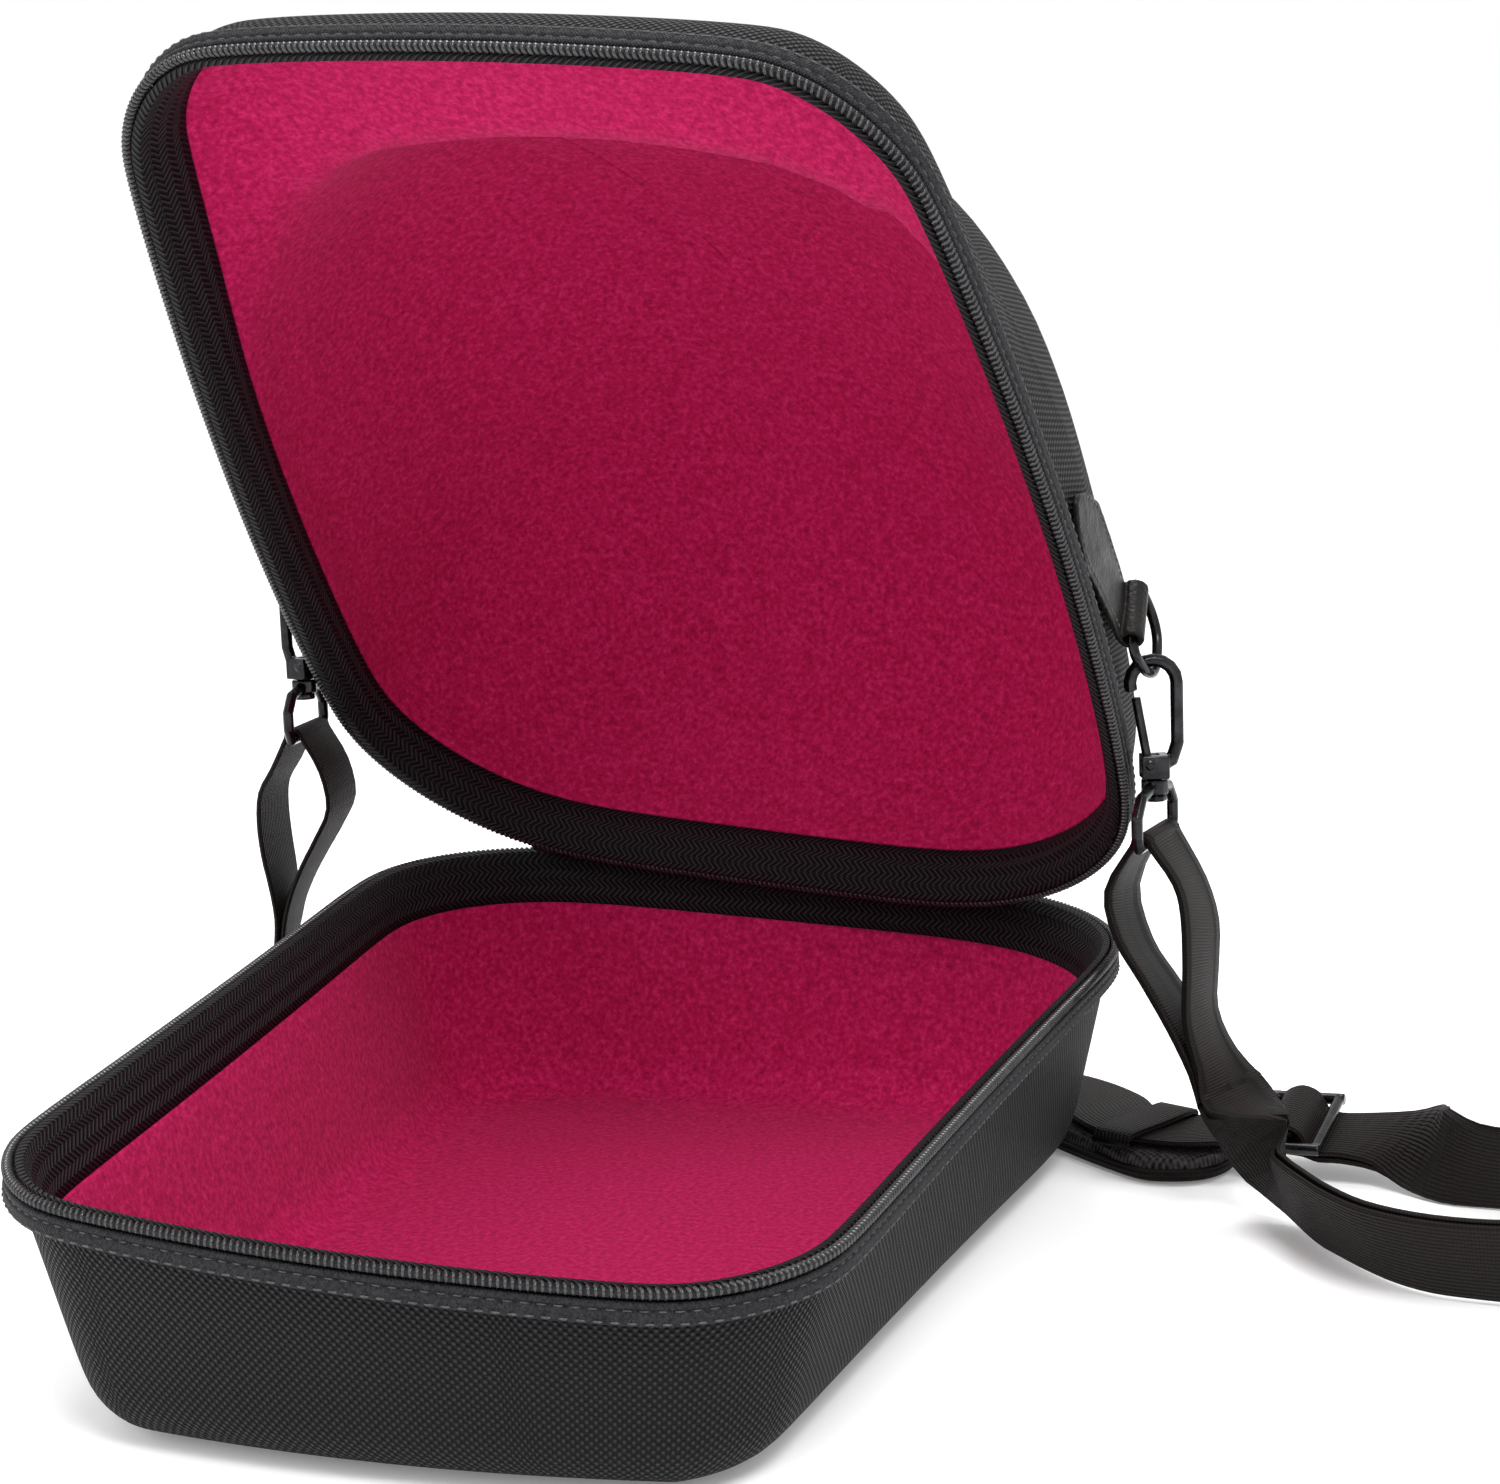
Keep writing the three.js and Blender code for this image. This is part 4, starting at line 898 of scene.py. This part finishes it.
def make_camera():
    right = Vector((math.cos(AZIMUTH), math.sin(AZIMUTH), 0))
    flat, rise = math.cos(ELEVATION), math.sin(ELEVATION)
    back = Vector((math.sin(AZIMUTH) * flat, -math.cos(AZIMUTH) * flat, rise))
    up = back.cross(right)
    rolled_right = right * math.cos(ROLL) + up * math.sin(ROLL)
    rolled_up = up * math.cos(ROLL) - right * math.sin(ROLL)
    data = bpy.data.cameras.new("camera")
    data.lens = LENS
    data.sensor_width = 36
    data.sensor_fit = "HORIZONTAL"
    data.clip_start = 0.01
    camera = bpy.data.objects.new("camera", data)
    turned = Matrix((rolled_right, rolled_up, back)).transposed().to_4x4()
    camera.matrix_world = Matrix.Translation(EYE) @ turned
    bpy.context.scene.collection.objects.link(camera)
    bpy.context.scene.camera = camera


def make_area_light(name, place, target, size, power):
    data = bpy.data.lights.new(name, "AREA")
    data.shape = "SQUARE"
    data.size = size
    data.energy = power
    light = bpy.data.objects.new(name, data)
    light.location = place
    light.rotation_euler = (Vector(target) - Vector(place)).to_track_quat("-Z", "Y").to_euler()
    bpy.context.scene.collection.objects.link(light)


def make_studio():
    world = bpy.data.worlds.new("studio")
    bpy.context.scene.world = world
    world.use_nodes = True
    world.node_tree.nodes["Background"].inputs["Color"].default_value = (1, 1, 1, 1)
    world.node_tree.nodes["Background"].inputs["Strength"].default_value = 1.0
    bpy.context.scene.view_settings.view_transform = "Standard"
    finish = Finish("floor", (0.95, 0.95, 0.95), 0.9, Specular_IOR_Level=0.1, Emission_Strength=0.14)
    finish.shader.inputs["Emission Color"].default_value = (1, 1, 1, 1)
    finish.ramp(finish.noise(3), ((0.3, 0.94), (0.7, 0.96)), "Base Color")
    bm = bmesh.new()
    bmesh.ops.create_grid(bm, x_segments=8, y_segments=8, size=12)
    floor = from_bmesh("floor", bm)
    floor.data.materials.append(finish.material)
    make_area_light("key", (0.7, -0.9, 1.5), (0, 0.05, 0.1), 0.6, 22)
    make_area_light("fill", (-1.1, -0.8, 0.7), (0, 0.05, 0.12), 0.9, 6)
    make_area_light("top", (-0.1, 0.6, 1.6), (0, 0, 0.1), 0.8, 14)


make_camera()
make_studio()
make_shells()
make_rims()
make_hardware()
make_strap()
make_pad_body()
make_binding()
